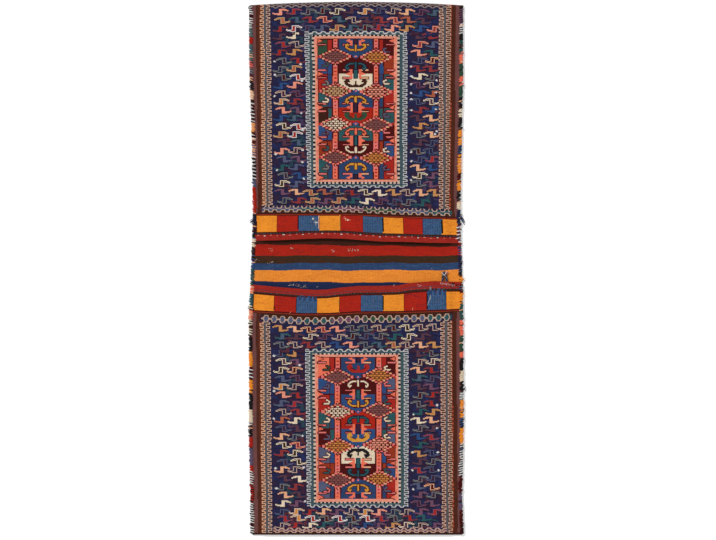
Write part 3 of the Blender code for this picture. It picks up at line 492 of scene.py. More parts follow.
dull, goldCheck, khaki = ("brownish", "wine"), ("ochre", "russet"), ("sand", "maroon")
pinkCheck, creamCheck = ("salmon", "oxblood"), ("cream", "oxblood")
pouches = {
    "upper": {
        "lip": 242.4, "fold": 2.0, "seed": 3, "lively": 1,
        "lean": ((250, 1.2), (271, 1.1), (306, 1.5), (335, 0), (440, 0), (453, -0.9)),
        "squares": (256.9, 276.7, 298.7, 319.2, 340.5, 363.2, 383, 402.8, 422.6, 441.7, 457.3),
        "slits": (0.0011, 0.0011, 0.0011, 0.0011, 0.0011, 0.0036, 0.0011, 0.0011, 0.0046), "slitAt": 222,
        "ground": -7.0, "bands": (271.6, 438.9), "waves": ((206.6, 209.8), (210.2, 213.4)), "wavePhase": 0,
        "hookRows": (192, 201.2), "foldRows": (10.6, 19.4, 27.4),
        "foldBorder": (1.4, 6.6), "foldWools": ("fog", "plum"),
        "ring": (306.1, 407.1, 31.0, 187.6), "ladders": (335.4, 376), "drop": 0.8,
        "rows": ((335.4, 56.6, dull, goldCheck), (335.4, 91, khaki, pinkCheck),
                 (335.4, 123.8, creamCheck, dull), (335.4, 157.4, dull, goldCheck)),
        "centre": (("indigo", "indigo"), ("oxblood", "cream"), ("indigo", "red"), ("teal", "oxblood"),
                   ("indigo", "indigo")),
        "leftGaps": (("leaf", "leaf"), ("blue", "brick"), ("teal", "brown"), ("blue", "rust"),
                     ("teal", "deep")),
        "rightGaps": (("oxblood", "oxblood"), ("rust", "teal"), ("brick", "teal"), ("oxblood", "blue"),
                      ("brick", "leaf")),
        "anchors": ((50, -1, "gold"), (63.4, 1, "teal"), (86, -1, "brown", True), (97, 1, "gold"),
                    (119, -1, "leaf", True), (129, 1, "coral"), (152, -1, "cream"), (164, 1, "gold")),
        "curlX": (326, 386),
        "curls": ((64, "teal", 50, "slate"), (83, "grey", 82, "cream"), (100, "cream", 115, "slate"),
                  (132, "slate", 131, "pink"), (148, "teal", 150, "cream"), (167, "grey", 168, "slate")),
        "worn": (
            ("white", 312, 313.6, 219, 220.6), ("grey", 314.4, 316, 221, 222.4),
            ("slate", 310, 312, 223, 224), ("white", 315.6, 317.4, 223.6, 225),
            ("slate", 312.6, 314.2, 226, 227), ("peach", 345, 346.6, 219, 220.4),
            ("cream", 347, 348.4, 220.6, 222), ("pink", 343.6, 344.8, 217.4, 218.6),
            ("slate", 432, 433.4, 219.6, 220.6), ("slate", 368, 370, 219, 220),
            # The oxblood line beside a slit is painted shade; the peach and gold lines beside slits are painted
            # highlight
            ("slate", 376, 378, 222, 223), ("oxblood", 297.6, 298.6, 217, 231),
            ("peach", 318.6, 319.6, 217, 231), ("gold", 339.6, 340.6, 216, 230),
        ),
        "dots": (
            (275.3, 60.7), (275.7, 74.3), (275, 95.7), (275.3, 154), (276.4, 170), (301.7, 63.9),
            (302.6, 80.7), (301.4, 112.9), (302.7, 130), (302.4, 150), (301.7, 162), (303, 178.6),
            (411, 66), (411.4, 76), (411, 84), (411, 93), (411.2, 99), (411.4, 110), (411, 152),
            (411.2, 161), (411, 180), (436.4, 80), (436, 92), (435.6, 109), (436.6, 131), (435, 134),
        ),
    },
    "lower": {
        "lip": 286.2, "fold": 534.5, "seed": 11, "lively": 0.7,
        "lean": ((250, 0.8), (271, 1.0), (306, 1.0), (335, 0), (408, 0), (441, 0.8), (455, 0.6)),
        "squares": (253.9, 274.5, 296.5, 317.2, 339, 361, 383, 403.8, 426.8, 446.4, 463.7),
        "slits": (0.0011, 0.0018, 0.0011, 0.0011, 0.0011, 0.0030, 0.0011, 0.0030, 0.0016), "slitAt": 303,
        "ground": 532.5, "bands": (271.2, 441), "waves": ((315.9, 319.1), (319.6, 322.8)), "wavePhase": 4,
        "hookRows": (328, 336.2, 344.6), "foldRows": (511.2, 517.8, 525),
        "foldBorder": (527.5, 532.5), "foldWools": ("straw", "mauve"),
        "ring": (306.1, 408.3, 349.0, 507.0), "ladders": (337.6, 378.8), "drop": -1.4,
        "rows": ((337.6, 377, dull, goldCheck), (337.6, 411.4, creamCheck, dull),
                 (337.9, 446, goldCheck, pinkCheck), (338.4, 480, dull, goldCheck)),
        "centre": (("indigo", "indigo"), ("oxblood", "blue"), ("red", "blue"), ("cream", "oxblood"),
                   ("indigo", "indigo")),
        "leftGaps": (("amber", "coral"), ("blue", "brick"), ("teal", "oxblood"), ("slate", "rust"),
                     ("slate", "deep")),
        "rightGaps": (("oxblood", "oxblood"), ("slate", "brick"), ("teal", "slate"), ("rust", "blue"),
                      ("brick", "teal")),
        "anchors": ((371, -1, "brick", True), (381, 1, "cream"), (406, -1, "gold"), (417, 1, "teal"),
                    (440, -1, "gold", True), (450, 1, "black", True), (475, -1, "teal"), (485, 1, "gold")),
        "curlX": (327, 387),
        "curls": ((368, "leaf", 368, "cream"), (386, "slate", 384, "pink"), (402, "cream", 402, "teal"),
                  (420, "cream", 419, "cream"), (437, "slate", 436, "cream"), (455, "cream", 453, "pink"),
                  (471, "teal", 470, "teal"), (490, "pink", 489, "slate")),
        "worn": (
            ("slate", 300, 301.4, 298, 299.4), ("slate", 306, 307.4, 301, 302.4),
            ("slate", 312, 313, 304, 305), ("slate", 366, 368, 297, 298), ("slate", 372, 374, 300.6, 302),
            ("slate", 366, 367, 304, 306), ("slate", 378, 379.4, 298, 299.4),
            ("slate", 436, 438, 296, 297.4), ("slate", 440, 442, 300, 301), ("slate", 434, 436, 304, 305),
            # The gold line beside a slit is painted highlight; the oxblood line beside a slit is painted shade
            ("grey", 430, 431, 291, 294), ("gold", 338.6, 339.6, 298, 312),
            ("oxblood", 273.8, 274.8, 294, 309),
        ),
        "dots": (
            (274.6, 355.7), (274.4, 391), (273.9, 418.6), (275, 468), (276, 488), (300.3, 365),
            (301.4, 419.3), (302.4, 435.7), (303.1, 467), (304.2, 501), (413.4, 414.4), (412.6, 452),
            (412.4, 470), (413, 489), (437, 405), (436.6, 428), (437.4, 452), (438, 470),
        ),
    },
}  # patches where the wool is gone and the pale warp shows, and pale and dark upright lines beside some slits, which are painted highlight and painted shade; dots: single white stitches between the hooks


def closureBand(drawing, side, way):  # from the lip down; way: 1 where the pouch lies below it
    y, edges = pouches[side]["lip"], pouches[side]["squares"]
    left, right, lipDeep, deep = 250, 464, 6.4, 27.4  # of the band, in photo pixels
    nearEnd, farEnd = 9, 25.4  # of the coloured squares

    def across(x0, x1, d0, d1, colour):
        a, b = sorted((y + way * d0, y + way * d1))
        drawing.block(x0, x1, a, b, colour)

    across(left, right, 0, deep, "oxblood")
    across(left, right, 0, lipDeep, "lip")
    across(left, right, lipDeep, 8.8, "brown")
    for k in range(66):
        x = 254 + 3.2 * k
        across(x, x + 1.7, 6.5, 7.4, "teal" if k % 2 else "heather")
        if side == "upper" and k % 2:
            across(x, x + 1.8, 4.6 + 0.7 * (k % 4 == 1), 5.6 + 0.7 * (k % 4 == 1), "pink" if k % 3 else "white")
        if side == "lower":
            across(x, x + 2.6, 4.4, 5.1, "heather")
    colours = ("orange", "red", "denim")
    specks = drawing.chance.random(drawing.x.shape)
    for k, (x0, x1) in enumerate(zip(edges, edges[1:])):
        across(x0, x1, nearEnd, farEnd, colours[k % 3])
        d = (drawing.y - y) * way
        inside = (drawing.x > x0) & (drawing.x < x1) & (d > nearEnd) & (d < farEnd)
        if k % 3 == 2:
            ribs = (drawing.x / 2.4 + 0.14 * np.sin(drawing.y * 1.9)) % 1
            drawing.paint(inside & (ribs < 0.42) & (specks > 0.25), "indigo")
            drawing.paint(inside & ((drawing.y / 2.3) % 1 < 0.32) & (specks < 0.45), "steel")
            drawing.paint(inside & (specks > 0.94), "slate")
            drawing.paint(inside & (specks < 0.06), "teal")
        elif k % 3 == 1:
            drawing.paint(inside & (specks > 0.975), "brick")
        if side == "lower" and k in (2, 8):  # ragged at the lip
            for n in range(12):
                x = x0 + (x1 - x0) * n / 12
                across(x, x + 1.8, 9.0 - 3.4 * ((n * 7) % 5) / 5, 12, "indigo" if n % 3 else "denim")
    across(left, right, farEnd, deep, "oxblood")
    across(left, right, 26.4, 27.2, "rust")
    inBand = (drawing.y - y) * way < 26
    drawing.cells = np.where(inBand, flecked(drawing.cells, 40 + way), drawing.cells)
    # Wear patches, and pale and dark lines beside some slits as painted highlight and painted shade
    for colour, *box in pouches[side]["worn"]:
        drawing.block(*box, colour)


def pouchDrawing(side):
    pouch = pouches[side]
    lip, seed, left, right = pouch["lip"], pouch["seed"], pouch["bands"][0] - 11, pouch["bands"][1] + 12
    way = 1 if pouch["fold"] > lip else -1
    above, below = ("brown", "navy") if way > 0 else ("navy", "brown")
    drawing = Drawing(lip, pouch["fold"] + way * 9, "brown", pouch["lean"])
    ends = sorted((lip + way * 28, pouch["ground"]))
    darkGround(drawing, *ends)
    high, low = pouch["ring"][2:]
    count = round((low - high) / hookRows["high"])
    pitch = (low - high) / count
    rows = [high + (k + 0.5) * pitch for k in range(count)]
    hooks(drawing, *hookRows["left"], rows, -1, seed)
    hooks(drawing, *hookRows["right"], rows, 1, seed + 1, hookRows["rightPitch"], hookRows["rightLively"])
    hooks(drawing, *hookRows["all"], pouch["hookRows"], 1, seed + 2, lively=pouch["lively"])
    hooks(drawing, *hookRows["all"], pouch["foldRows"], -1, seed + 3, lively=pouch["lively"])
    for x, y in pouch["dots"]:
        drawing.diamond(x, y, 1.5, 1.2, "white")
    sideBands(drawing, *ends, *pouch["bands"])
    upperWave, lowerWave = pouch["waves"]
    a, b = upperWave[0], lowerWave[1]
    drawing.block(left, right, *sorted((lip + way * 27.8, a if way > 0 else b)), "brown")
    drawing.block(left, right, a, b, "plum")
    stops = (262, 300, 332, 364, 396, 428, 452)
    for x0, x1, colour in zip(stops, stops[1:], ("slate", "teal", "mauve", "leaf", "slate", "teal")):
        drawing.block(x0, x1, a + 1.6, b - 1.6, colour)
    x0, x1, thick = 262, 450, 0.6
    drawing.wave(x0, x1, *upperWave, False, widePitch, 0, thick, "dust", above, None, 3)
    drawing.wave(x0, x1, *lowerWave, False, widePitch, pouch["wavePhase"], thick, "dust", None, below, 3)
    field(drawing, *ring(drawing, *pouch["ring"]), pouch)
    near, far = pouch["foldBorder"]
    line, fill = pouch["foldWools"]
    x0, x1, waveHigh = 272, 446, 2.5
    drawing.block(x0, x1, near + 1.2, far - 1.2, fill)
    drawing.wave(x0, x1, near, near + waveHigh, False, widePitch, 2, lineThick, line, below, None)
    drawing.wave(x0, x1, far - waveHigh, far, False, widePitch, 2, lineThick, line, None, above)
    closureBand(drawing, side, way)
    return drawing


# Shader maths written as arithmetic


class Wire:
    def __init__(self, tree, socket):
        self.tree, self.socket = tree, socket

    def math(self, operation, a, b=0.0):
        vector = any(isinstance(v, Wire) and v.socket.type in ("VECTOR", "RGBA") for v in (a, b))
        if vector:
            a, b = (v if isinstance(v, Wire) or not np.isscalar(v) else (v, v, v) for v in (a, b))
        return self.tree.node("VectorMath" if vector else "Math", {"operation": operation}, i0=a, i1=b)

    def __add__(self, other): return self.math("ADD", self, other)
    def __radd__(self, other): return self.math("ADD", other, self)
    def __sub__(self, other): return self.math("SUBTRACT", self, other)
    def __rsub__(self, other): return self.math("SUBTRACT", other, self)
    def __mul__(self, other): return self.math("MULTIPLY", self, other)
    def __rmul__(self, other): return self.math("MULTIPLY", other, self)
    def __truediv__(self, other): return self.math("DIVIDE", self, other)
    def __rtruediv__(self, other): return self.math("DIVIDE", other, self)
    def sine(self): return self.math("SINE", self)
    def size(self): return self.math("ABSOLUTE", self)
    def most(self, other): return self.math("MAXIMUM", self, other)


class Tree:  # the nodes of a new material or world
    def __init__(self, owner):
        owner.use_nodes = True
        self.owner, self.made = owner, owner.node_tree
        self.made.nodes.clear()

    def node(self, kind, settings=None, out=0, **inputs):
        made = self.made.nodes.new("ShaderNode" + kind)
        for key, value in (settings or {}).items():
            setattr(made, key, value)
        for key, value in inputs.items():
            socket = made.inputs[int(key[1:]) if key[1:].isdigit() else key.replace("_", " ")]
            if isinstance(value, Wire):
                self.made.links.new(value.socket, socket)
            else:
                socket.default_value = value
        return Wire(self, made.outputs[out]) if made.outputs else made

    def finish(self, surface, output="OutputMaterial"):
        self.node(output, Surface=surface)
        return self.owner


def woolMaterial(name, settings):
    tree = Tree(bpy.data.materials.new(name))
    uv = tree.node("UVMap", {"uv_map": "weave"})
    parts = tree.node("SeparateXYZ", i0=uv)
    x, w = parts, Wire(tree, parts.socket.node.outputs[1])
    colour = tree.node("VertexColor", {"layer_name": "wool"})
    strand = (x * (math.pi / settings["across"]) + w * (settings["slant"] / settings["along"])).sine().size()
    row = (w * (math.pi / settings["along"])).sine().size()
    flat = {"noise_dimensions": "2D"}
    streaks = tree.node("TexNoise", flat, Vector=uv * (90, 520, 1), Scale=1.0, Detail=3.0)
    patches = tree.node("TexNoise", flat, Vector=uv * (14, 60, 1), Scale=1.0, Detail=2.0)
    fuzz = tree.node("TexNoise", flat, Vector=uv, Scale=1900.0, Detail=2.0)
    # Painted shade: the base colour is darker between the wraps and rows of the weave and lighter on their
    # crests; the streaks and patches are uneven dye
    wrapShadeAndStreaks = 0.88 + strand * row * 0.24 + (streaks - 0.5) * settings["streak"] + (patches - 0.5) * 0.22
    height = strand * 0.55 + row * 0.45 + (fuzz - 0.5) * 0.5
    bump = tree.node("Bump", Height=height, Strength=settings["strength"], Distance=settings["depth"])
    surface = tree.node("BsdfPrincipled", Base_Color=colour * wrapShadeAndStreaks, Roughness=0.82 + (fuzz - 0.5) * 0.25,
                        Normal=bump, Sheen_Weight=0.03, Sheen_Roughness=0.6, Specular_IOR_Level=0.04)
    return tree.finish(surface)


patterned = woolMaterial("patternedWool", {"across": 0.002115, "along": 0.001893, "slant": 1.2, "streak": 0.35,
                                          "strength": 0.75, "depth": 0.0007})
plain = woolMaterial("plainWool", {"across": 0.0042, "along": 0.0011, "slant": 0.0, "streak": 0.4,
                                   "strength": 0.7, "depth": 0.0006})
yarn = woolMaterial("lacingWool", {"across": 0.0024, "along": 0.5, "slant": 3.1, "streak": 0.3,
                                   "strength": 0.8, "depth": 0.0005})


# The folded strip, as sheets that meet edge to edge


def sheetMesh(name, xs, ws, cells, proud, cuts=(), step=1, lining="brown", shown="outer"):
    # full stitches on the side that shows, a coarser net on the other, and walls between them
    n, m = len(xs) - 1, len(ws) - 1
    acrossGrid, alongGrid = np.meshgrid(xs, ws)
    around = np.pad(proud, 1, mode="edge")
    raised = (around[:-1, :-1] + around[1:, :-1] + around[:-1, 1:] + around[1:, 1:]) / 4
    outer = lay(acrossGrid, alongGrid, shown == "outer", raised)
    if shown == "inner":
        outer[..., 2] += raised
    outer = outer.reshape(-1, 3)
    columns, lines = np.arange(0, n + 1, step), np.arange(0, m + 1, step)
    coarse = np.ix_(lines, columns)
    inner = lay(acrossGrid[coarse], alongGrid[coarse], shown != "outer").reshape(-1, 3)
    keep = np.ones((m, n), bool)
    for w0, w1, j in cuts:
        keep[w0:w1, j] = False
    base, width = len(outer), len(columns)
    faces, shades = [], []

    def out(i, j):
        return i * (n + 1) + j

    def under(i, j):
        return base + (i // step) * width + j // step

    for i, j in np.argwhere(keep):
        faces.append((out(i, j), out(i, j + 1), out(i + 1, j + 1), out(i + 1, j)))
        shades.append(cells[i, j])
    for i in range(0, m, step):
        for j in range(0, n, step):
            if keep[i, j]:
                faces.append((under(i, j), under(i + step, j), under(i + step, j + step), under(i, j + step)))
                shades.append(code[lining])
    if len(cuts):  # both grids are alike, so each open edge gets one wall
        closed = np.pad(keep, 1)
        for i, j in np.argwhere(keep):
            sides = ((closed[i, j + 1], (i, j), (i, j + 1)), (closed[i + 1, j + 2], (i, j + 1), (i + 1, j + 1)),
                     (closed[i + 2, j + 1], (i + 1, j + 1), (i + 1, j)), (closed[i + 1, j], (i + 1, j), (i, j)))
            for joined, a, b in sides:
                if not joined:
                    faces.append((out(*b), out(*a), under(*a), under(*b)))
                    shades.append(cells[i, j])
    else:
        loops = ([(0, j) for j in range(n + 1)], [(i, n) for i in range(m + 1)],
                 [(m, j) for j in range(n, -1, -1)], [(i, 0) for i in range(m, -1, -1)])
        for loop in loops:
            for start in range(0, len(loop) - 1, step):
                first, last = loop[start], loop[start + step]
                middle = start + step // 2
                for k in range(start, start + step):
                    foot = first if k < middle else last
                    walls = [(out(*loop[k + 1]), out(*loop[k]), under(*foot))]
                    if k == middle:
                        walls.insert(0, (out(*loop[k]), under(*first), under(*last)))
                    faces += walls
                    shades += [cells[min(loop[k][0], m - 1), min(loop[k][1], n - 1)]] * len(walls)
    flat = np.stack([acrossGrid, alongGrid], -1)
    uv = np.concatenate([flat.reshape(-1, 2), flat[coarse].reshape(-1, 2)])
    if shown == "inner":
        faces = [f[::-1] for f in faces]
    return woolMesh(name, np.concatenate([outer, inner]), faces, shades, uv)


def woolMesh(name, points, faces, shades, uv, vary=0.07):
    mesh = bpy.data.meshes.new(name)
    mesh.from_pydata([tuple(p) for p in points], [], faces)
    chance = np.random.default_rng(len(faces))
    colours = linear([wool[woolNames[s]] for s in shades])
    colours = colours * (1 + vary * chance.standard_normal((len(faces), 1)))
    counts = [len(f) for f in faces]
    rgba = np.concatenate([np.clip(colours, 0, 1), np.ones((len(faces), 1))], axis=1)
    layer = mesh.color_attributes.new("wool", "FLOAT_COLOR", "CORNER")
    layer.data.foreach_set("color", np.repeat(rgba, counts, axis=0).ravel().astype(np.float32))
    loops = np.empty(len(mesh.loops), np.int32)
    mesh.loops.foreach_get("vertex_index", loops)
    coords = mesh.uv_layers.new(name="weave")
    coords.data.foreach_set("uv", np.asarray(uv)[loops].ravel().astype(np.float32))
    mesh.polygons.foreach_set("use_smooth", [True] * len(mesh.polygons))
    used = np.unique(loops)
    if len(used) < len(mesh.vertices):
        edit = bmesh.new()
        edit.from_mesh(mesh)
        bmesh.ops.delete(edit, geom=[v for v in edit.verts if not v.link_faces], context="VERTS")
        edit.to_mesh(mesh)
        edit.free()
    mesh.set_sharp_from_angle(angle=math.radians(55))
    piece = bpy.data.objects.new(name, mesh)
    bpy.context.scene.collection.objects.link(piece)
    return piece


def reliefOf(cells):
    heights = np.array([raisedWool.get(name, 0.0) for name in woolNames]) * relief
    return heights[cells]


bandRows, coarseStep = 51, 6  # rows of the closure band; chart steps to one of the lining's
slitRows = (14, 34)


def frontSheets(side):
    pouch, drawing = pouches[side], pouchDrawing(side)
    cells = drawing.cells[::-1] if side == "upper" else drawing.cells  # row 0 is at the lip
    whole = len(cells) // coarseStep * coarseStep
    total = bandRows + (whole - bandRows) // coarseStep * coarseStep
    ws = np.arange(total + 1) * (cellHigh * stitch)
    even = np.linspace(-halfCloth, halfCloth, chartColumns + 1)
    xs = even.copy()
    cuts = []
    for edge, wide in zip(pouch["squares"][1:], pouch["slits"]):
        column = drawing.at(edge, pouch["slitAt"])[1]
        middle = (xs[column] + xs[column + 1]) / 2
        xs[column], xs[column + 1] = middle - wide / 2, middle + wide / 2
        cuts.append((*slitRows, column))
    bandWs, frontWs = ws[:bandRows + 1], ws[bandRows:]
    bandCells, frontCells = cells[:bandRows], cells[bandRows:total]
    if side == "lower":  # the strip is counted from the upper mouth, so this end runs backwards
        bandWs, frontWs = strip - bandWs[::-1], strip - frontWs[::-1]
        bandCells, frontCells = bandCells[::-1], frontCells[::-1]
        cuts = [(bandRows - b, bandRows - a, j) for a, b, j in cuts]
    band = sheetMesh(side + "ClosureBand", xs, bandWs, bandCells, reliefOf(bandCells), cuts, lining="lip")
    front = sheetMesh(side + "PouchFront", even, frontWs, frontCells, reliefOf(frontCells), (), coarseStep)
    bandReach, reach = bandRows * (cellHigh * stitch), total * (cellHigh * stitch)
    declared(band, 0, bandReach, patterned)
    declared(front, bandReach, reach, patterned)
    return front, reach


def declared(piece, w0, w1, material):
    piece.data.materials.append(material)
    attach(piece, "root")
    w1 - w0


print("weaving the pouches")
upperPouch, upperReach = frontSheets("upper")
lowerReach = frontSheets("lower")[1]
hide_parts("woven_cloth")


# The striped bridge and the back
bridge = {  # ends: where each stripe ends down the bag; threads: bare threads in a box, and how many
    "from": 0.100, "to": -0.082, "rows": 196, "columns": 200, "slack": 0.0009,
    "ends": (("brown", ((0, 244.3), (0.5, 245.5), (1, 247))), ("red", ((0, 255.5), (0.5, 255.9), (1, 255.7))),
             ("olive", ((0, 263.3), (1, 263.0))), ("indigo", ((0, 270), (0.5, 270.3), (1, 270))),
             ("amber", ((0, 281), (0.3, 282), (0.6, 282.6), (1, 283))), ("inky", ((0, 291), (1, 291)))),
    "threads": ((269, 272.5, 248, 252, 6), (290.5, 293.5, 247.4, 249, 4), (331.5, 334.5, 249.6, 252.4, 6),
                (347, 352.5, 248.8, 251.2, 9), (353, 358.5, 249.4, 251.4, 7), (257, 264, 259.5, 262, 9),
                (264, 275, 261, 263.6, 9), (288, 300, 284, 286.6, 14), (300, 307, 285, 287.4, 7),
                (315.6, 318.4, 286.2, 288, 3), (392, 395, 284.6, 286, 3), (417.6, 422.4, 284.4, 286.6, 5),
                (255, 258, 258.6, 261, 3), (366, 368, 258, 259, 1), (431, 432, 268, 269, 1)),
}


def bridgeCells(xs, ws):
    flat = (xs[1:] + xs[:-1]) / 2
    place = middleY - (top - foldRadius - ((ws[1:] + ws[:-1]) / 2 - backStart))[:, None] / stitch
    share = ((flat + halfCloth) / clothWidth)[None, :]
    wander = 0.35 * np.sin(share * 17) + 0.25 * np.sin(share * 41 + 2)
    cells = np.full((len(place), len(flat)), code["brown"])
    before = np.full((1, len(flat)), 0.0)
    for colour, line in bridge["ends"]:
        end = lineAt(line, share) + wander
        cells = np.where((place >= before) & (place < end), code[colour], cells)
        before = end
    return flecked(cells, 7)


print("weaving the bridge and the back")
bridgeEnds = (backStart + top - foldRadius - bridge[end] for end in ("from", "to"))
bridgeWs = np.linspace(*bridgeEnds, bridge["rows"] + 1)
bridgeXs = np.linspace(-halfCloth, halfCloth, bridge["columns"] + 1)
cells = bridgeCells(bridgeXs, bridgeWs)
bx, bw = np.meshgrid(bridgeXs, bridgeWs)
slack = bridge["slack"] * np.sin(34 * bx + 60 * bw) * np.sin(47 * bw - 12 * bx) * swell(bx)
slack = bridge["slack"] + slack[:-1, :-1]
clothBridge = sheetMesh("clothBridge", bridgeXs, bridgeWs, cells, slack, shown="inner")
declared(clothBridge, bridgeWs[0], bridgeWs[-1], plain)

back = {
    "step": 0.004, "columns": 48,
    "bands": (("brick", 60), ("indigo", 12), ("amber", 5), ("indigo", 12), ("brick", 60), ("olive", 26),
              ("slate", 8), ("olive", 26)),  # in mm, repeated along the back
}


def backSheet(name, w0, w1):
    ws = np.linspace(w0, w1, int(round((w1 - w0) / back["step"])) + 1)
    xs = np.linspace(-halfCloth, halfCloth, back["columns"] + 1)
    wools, widths = zip(*back["bands"])
    marks = np.cumsum((0, *widths)) / 1000
    middles = ((ws[1:] + ws[:-1]) / 2 - backStart) % marks[-1]
    shades = np.array([code[wools[int(np.searchsorted(marks, t, "right")) - 1]] for t in middles])
    cells = np.repeat(shades[:, None], back["columns"], axis=1)
    declared(sheetMesh(name, xs, ws, cells, np.zeros(cells.shape)), w0, w1, plain)


backSheet("upperBack", upperReach, bridgeWs[0])
backSheet("lowerBack", bridgeWs[-1], strip - lowerReach)


# The lacing of the sides


def tube(path, radii, sides, closed):  # points and faces of a round yarn along a path
    path, count = np.asarray(path, float), len(path)
    radii = np.broadcast_to(radii, (count,))
    if closed:
        tangent = np.roll(path, -1, 0) - np.roll(path, 1, 0)
    else:
        tangent = np.gradient(path, axis=0)
    tangent /= np.linalg.norm(tangent, axis=1, keepdims=True)
    guide = np.array([0.12, 0.97, 0.21])
    first = np.cross(tangent, guide)
    first /= np.linalg.norm(first, axis=1, keepdims=True)
    second = np.cross(tangent, first)
    turn = np.arange(sides) * 2 * math.pi / sides
    ring = first[:, None] * np.cos(turn)[None, :, None] + second[:, None] * np.sin(turn)[None, :, None]
    points = (path[:, None] + ring * radii[:, None, None]).reshape(-1, 3)
    faces = []
    for i in range(count if closed else count - 1):
        a, b = i * sides, (i + 1) % count * sides
        faces += [(a + k, a + (k + 1) % sides, b + (k + 1) % sides, b + k) for k in range(sides)]
    if not closed:
        faces += [tuple(range(sides))[::-1], tuple(range((count - 1) * sides, count * sides))]
    run = np.concatenate([[0], np.cumsum(np.linalg.norm(np.diff(path, axis=0), axis=1))])
    uv = np.stack([np.repeat(run, sides), np.tile(np.arange(sides) / sides, count)], -1)
    return points, faces, uv


class Yarns:  # many lengths of yarn gathered in one mesh
    def __init__(self):
        self.points, self.faces, self.uv, self.shades, self.count = [], [], [], [], 0

    def add(self, path, radii, colour, sides=6, closed=False):
        points, faces, uv = tube(path, radii, sides, closed)
        self.faces += [tuple(v + self.count for v in f) for f in faces]
        self.shades += [code[colour]] * len(faces)
        self.points.append(points)
        self.uv.append(uv)
        self.count += len(points)

    def mesh(self, name, slotName, *nodes):
        points, uv = np.concatenate(self.points), np.concatenate(self.uv)
        made = woolMesh(name, points, self.faces, self.shades, uv, 0.05)
        made.data.materials.append(yarn)
        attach(made, "root")
        if nodes:
            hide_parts(*nodes)


laced = {  # metres; a run ends at its place down the bag, and its wools take turns
    "pitch": 0.0031, "radius": 0.00158, "reach": 0.0124, "high": 0.0086, "higherOnPouch": 0.0038,
    "slant": 0.0016, "endGap": 0.0028, "corners": 8, "strayShare": 0.09,
    "mouths": (0.068, -0.047), "fade": 0.01,  # it stands higher beyond both mouths
    "stray": ("black", "oxblood", "slate", "peach", "umber"),
}
lacings = {  # outwards: how far the turns stand off the cloth's edge, by place along the bag
    "left": {"side": -1, "seed": 5, "outwards": (
        (-0.7, 0.0034), (0.06, 0.0030), (0.16, 0.0012), (0.7, 0.0012)), "runs": (
        (26, "black white"), (35.5, "grey teal"), (43, "red"), (60.5, "teal grey"), (66.5, "brick pink"),
        (80, "heather grey"), (90, "black"), (99, "peach cream"), (103, "black"),
        (122, "oxblood white black"), (132, "peach orange"), (143, "oxblood white black"),
        (155, "peach blue"), (180, "black black white"), (187, "slate"), (214, "red"), (237, "navy black"),
        (247, "cream"), (258, "black brown"), (269, "blue"), (285.5, "leaf teal"), (293, "coral"),
        (305.5, "teal"), (309, "cream black"), (320, "coral peach"), (335.5, "cream black"), (351, "black"),
        (367, "orange"), (380, "white black oxblood"), (393, "orange"), (409, "black"), (425.5, "cream"),
        (437, "black"), (447, "red"), (464.5, "slate mauve"), (471, "red"), (485.5, "white oxblood"),
        (502, "brick oxblood"), (540, "black white"),
    )},
    "right": {"side": 1, "seed": 6, "outwards": (
        (-0.7, 0.0016), (0.06, 0.0014), (0.16, 0.0040), (0.5, 0.0042), (0.7, 0.0020)), "runs": (
        (5.5, "black"), (22, "black mauve"), (33, "white black"), (39, "black"), (51, "leaf teal"),
        (62, "coral"), (75.5, "leaf"), (85.5, "coral"), (97, "leaf"), (109, "black"), (117, "cream"),
        (130, "black"), (145.5, "orange"), (154.5, "black blue"), (173, "orange"), (180, "oxblood"),
        (191, "orange"), (202, "black"), (209, "cream"), (224.5, "navy"), (242, "oxblood mauve white"),
        (255.5, "red blue"), (269, "navy"), (277, "black"), (282, "orange"), (293.5, "oxblood"),
        (303.5, "orange"), (320, "leaf teal"), (335.5, "coral"), (350, "leaf"), (358, "coral"),
        (371, "black"), (381, "cream"), (392, "black"), (400, "white grey"), (418, "orange"),
        (427, "black blue"), (443, "orange"), (457, "black white"), (477, "black white"), (493, "oxblood"),
        (510, "mauve slate"), (529, "oxblood"), (540, "black oxblood"),
    )},
}


def clothEdge(side, y):
    return float(drawnIn(side * halfCloth, y)) + centring + side * lift


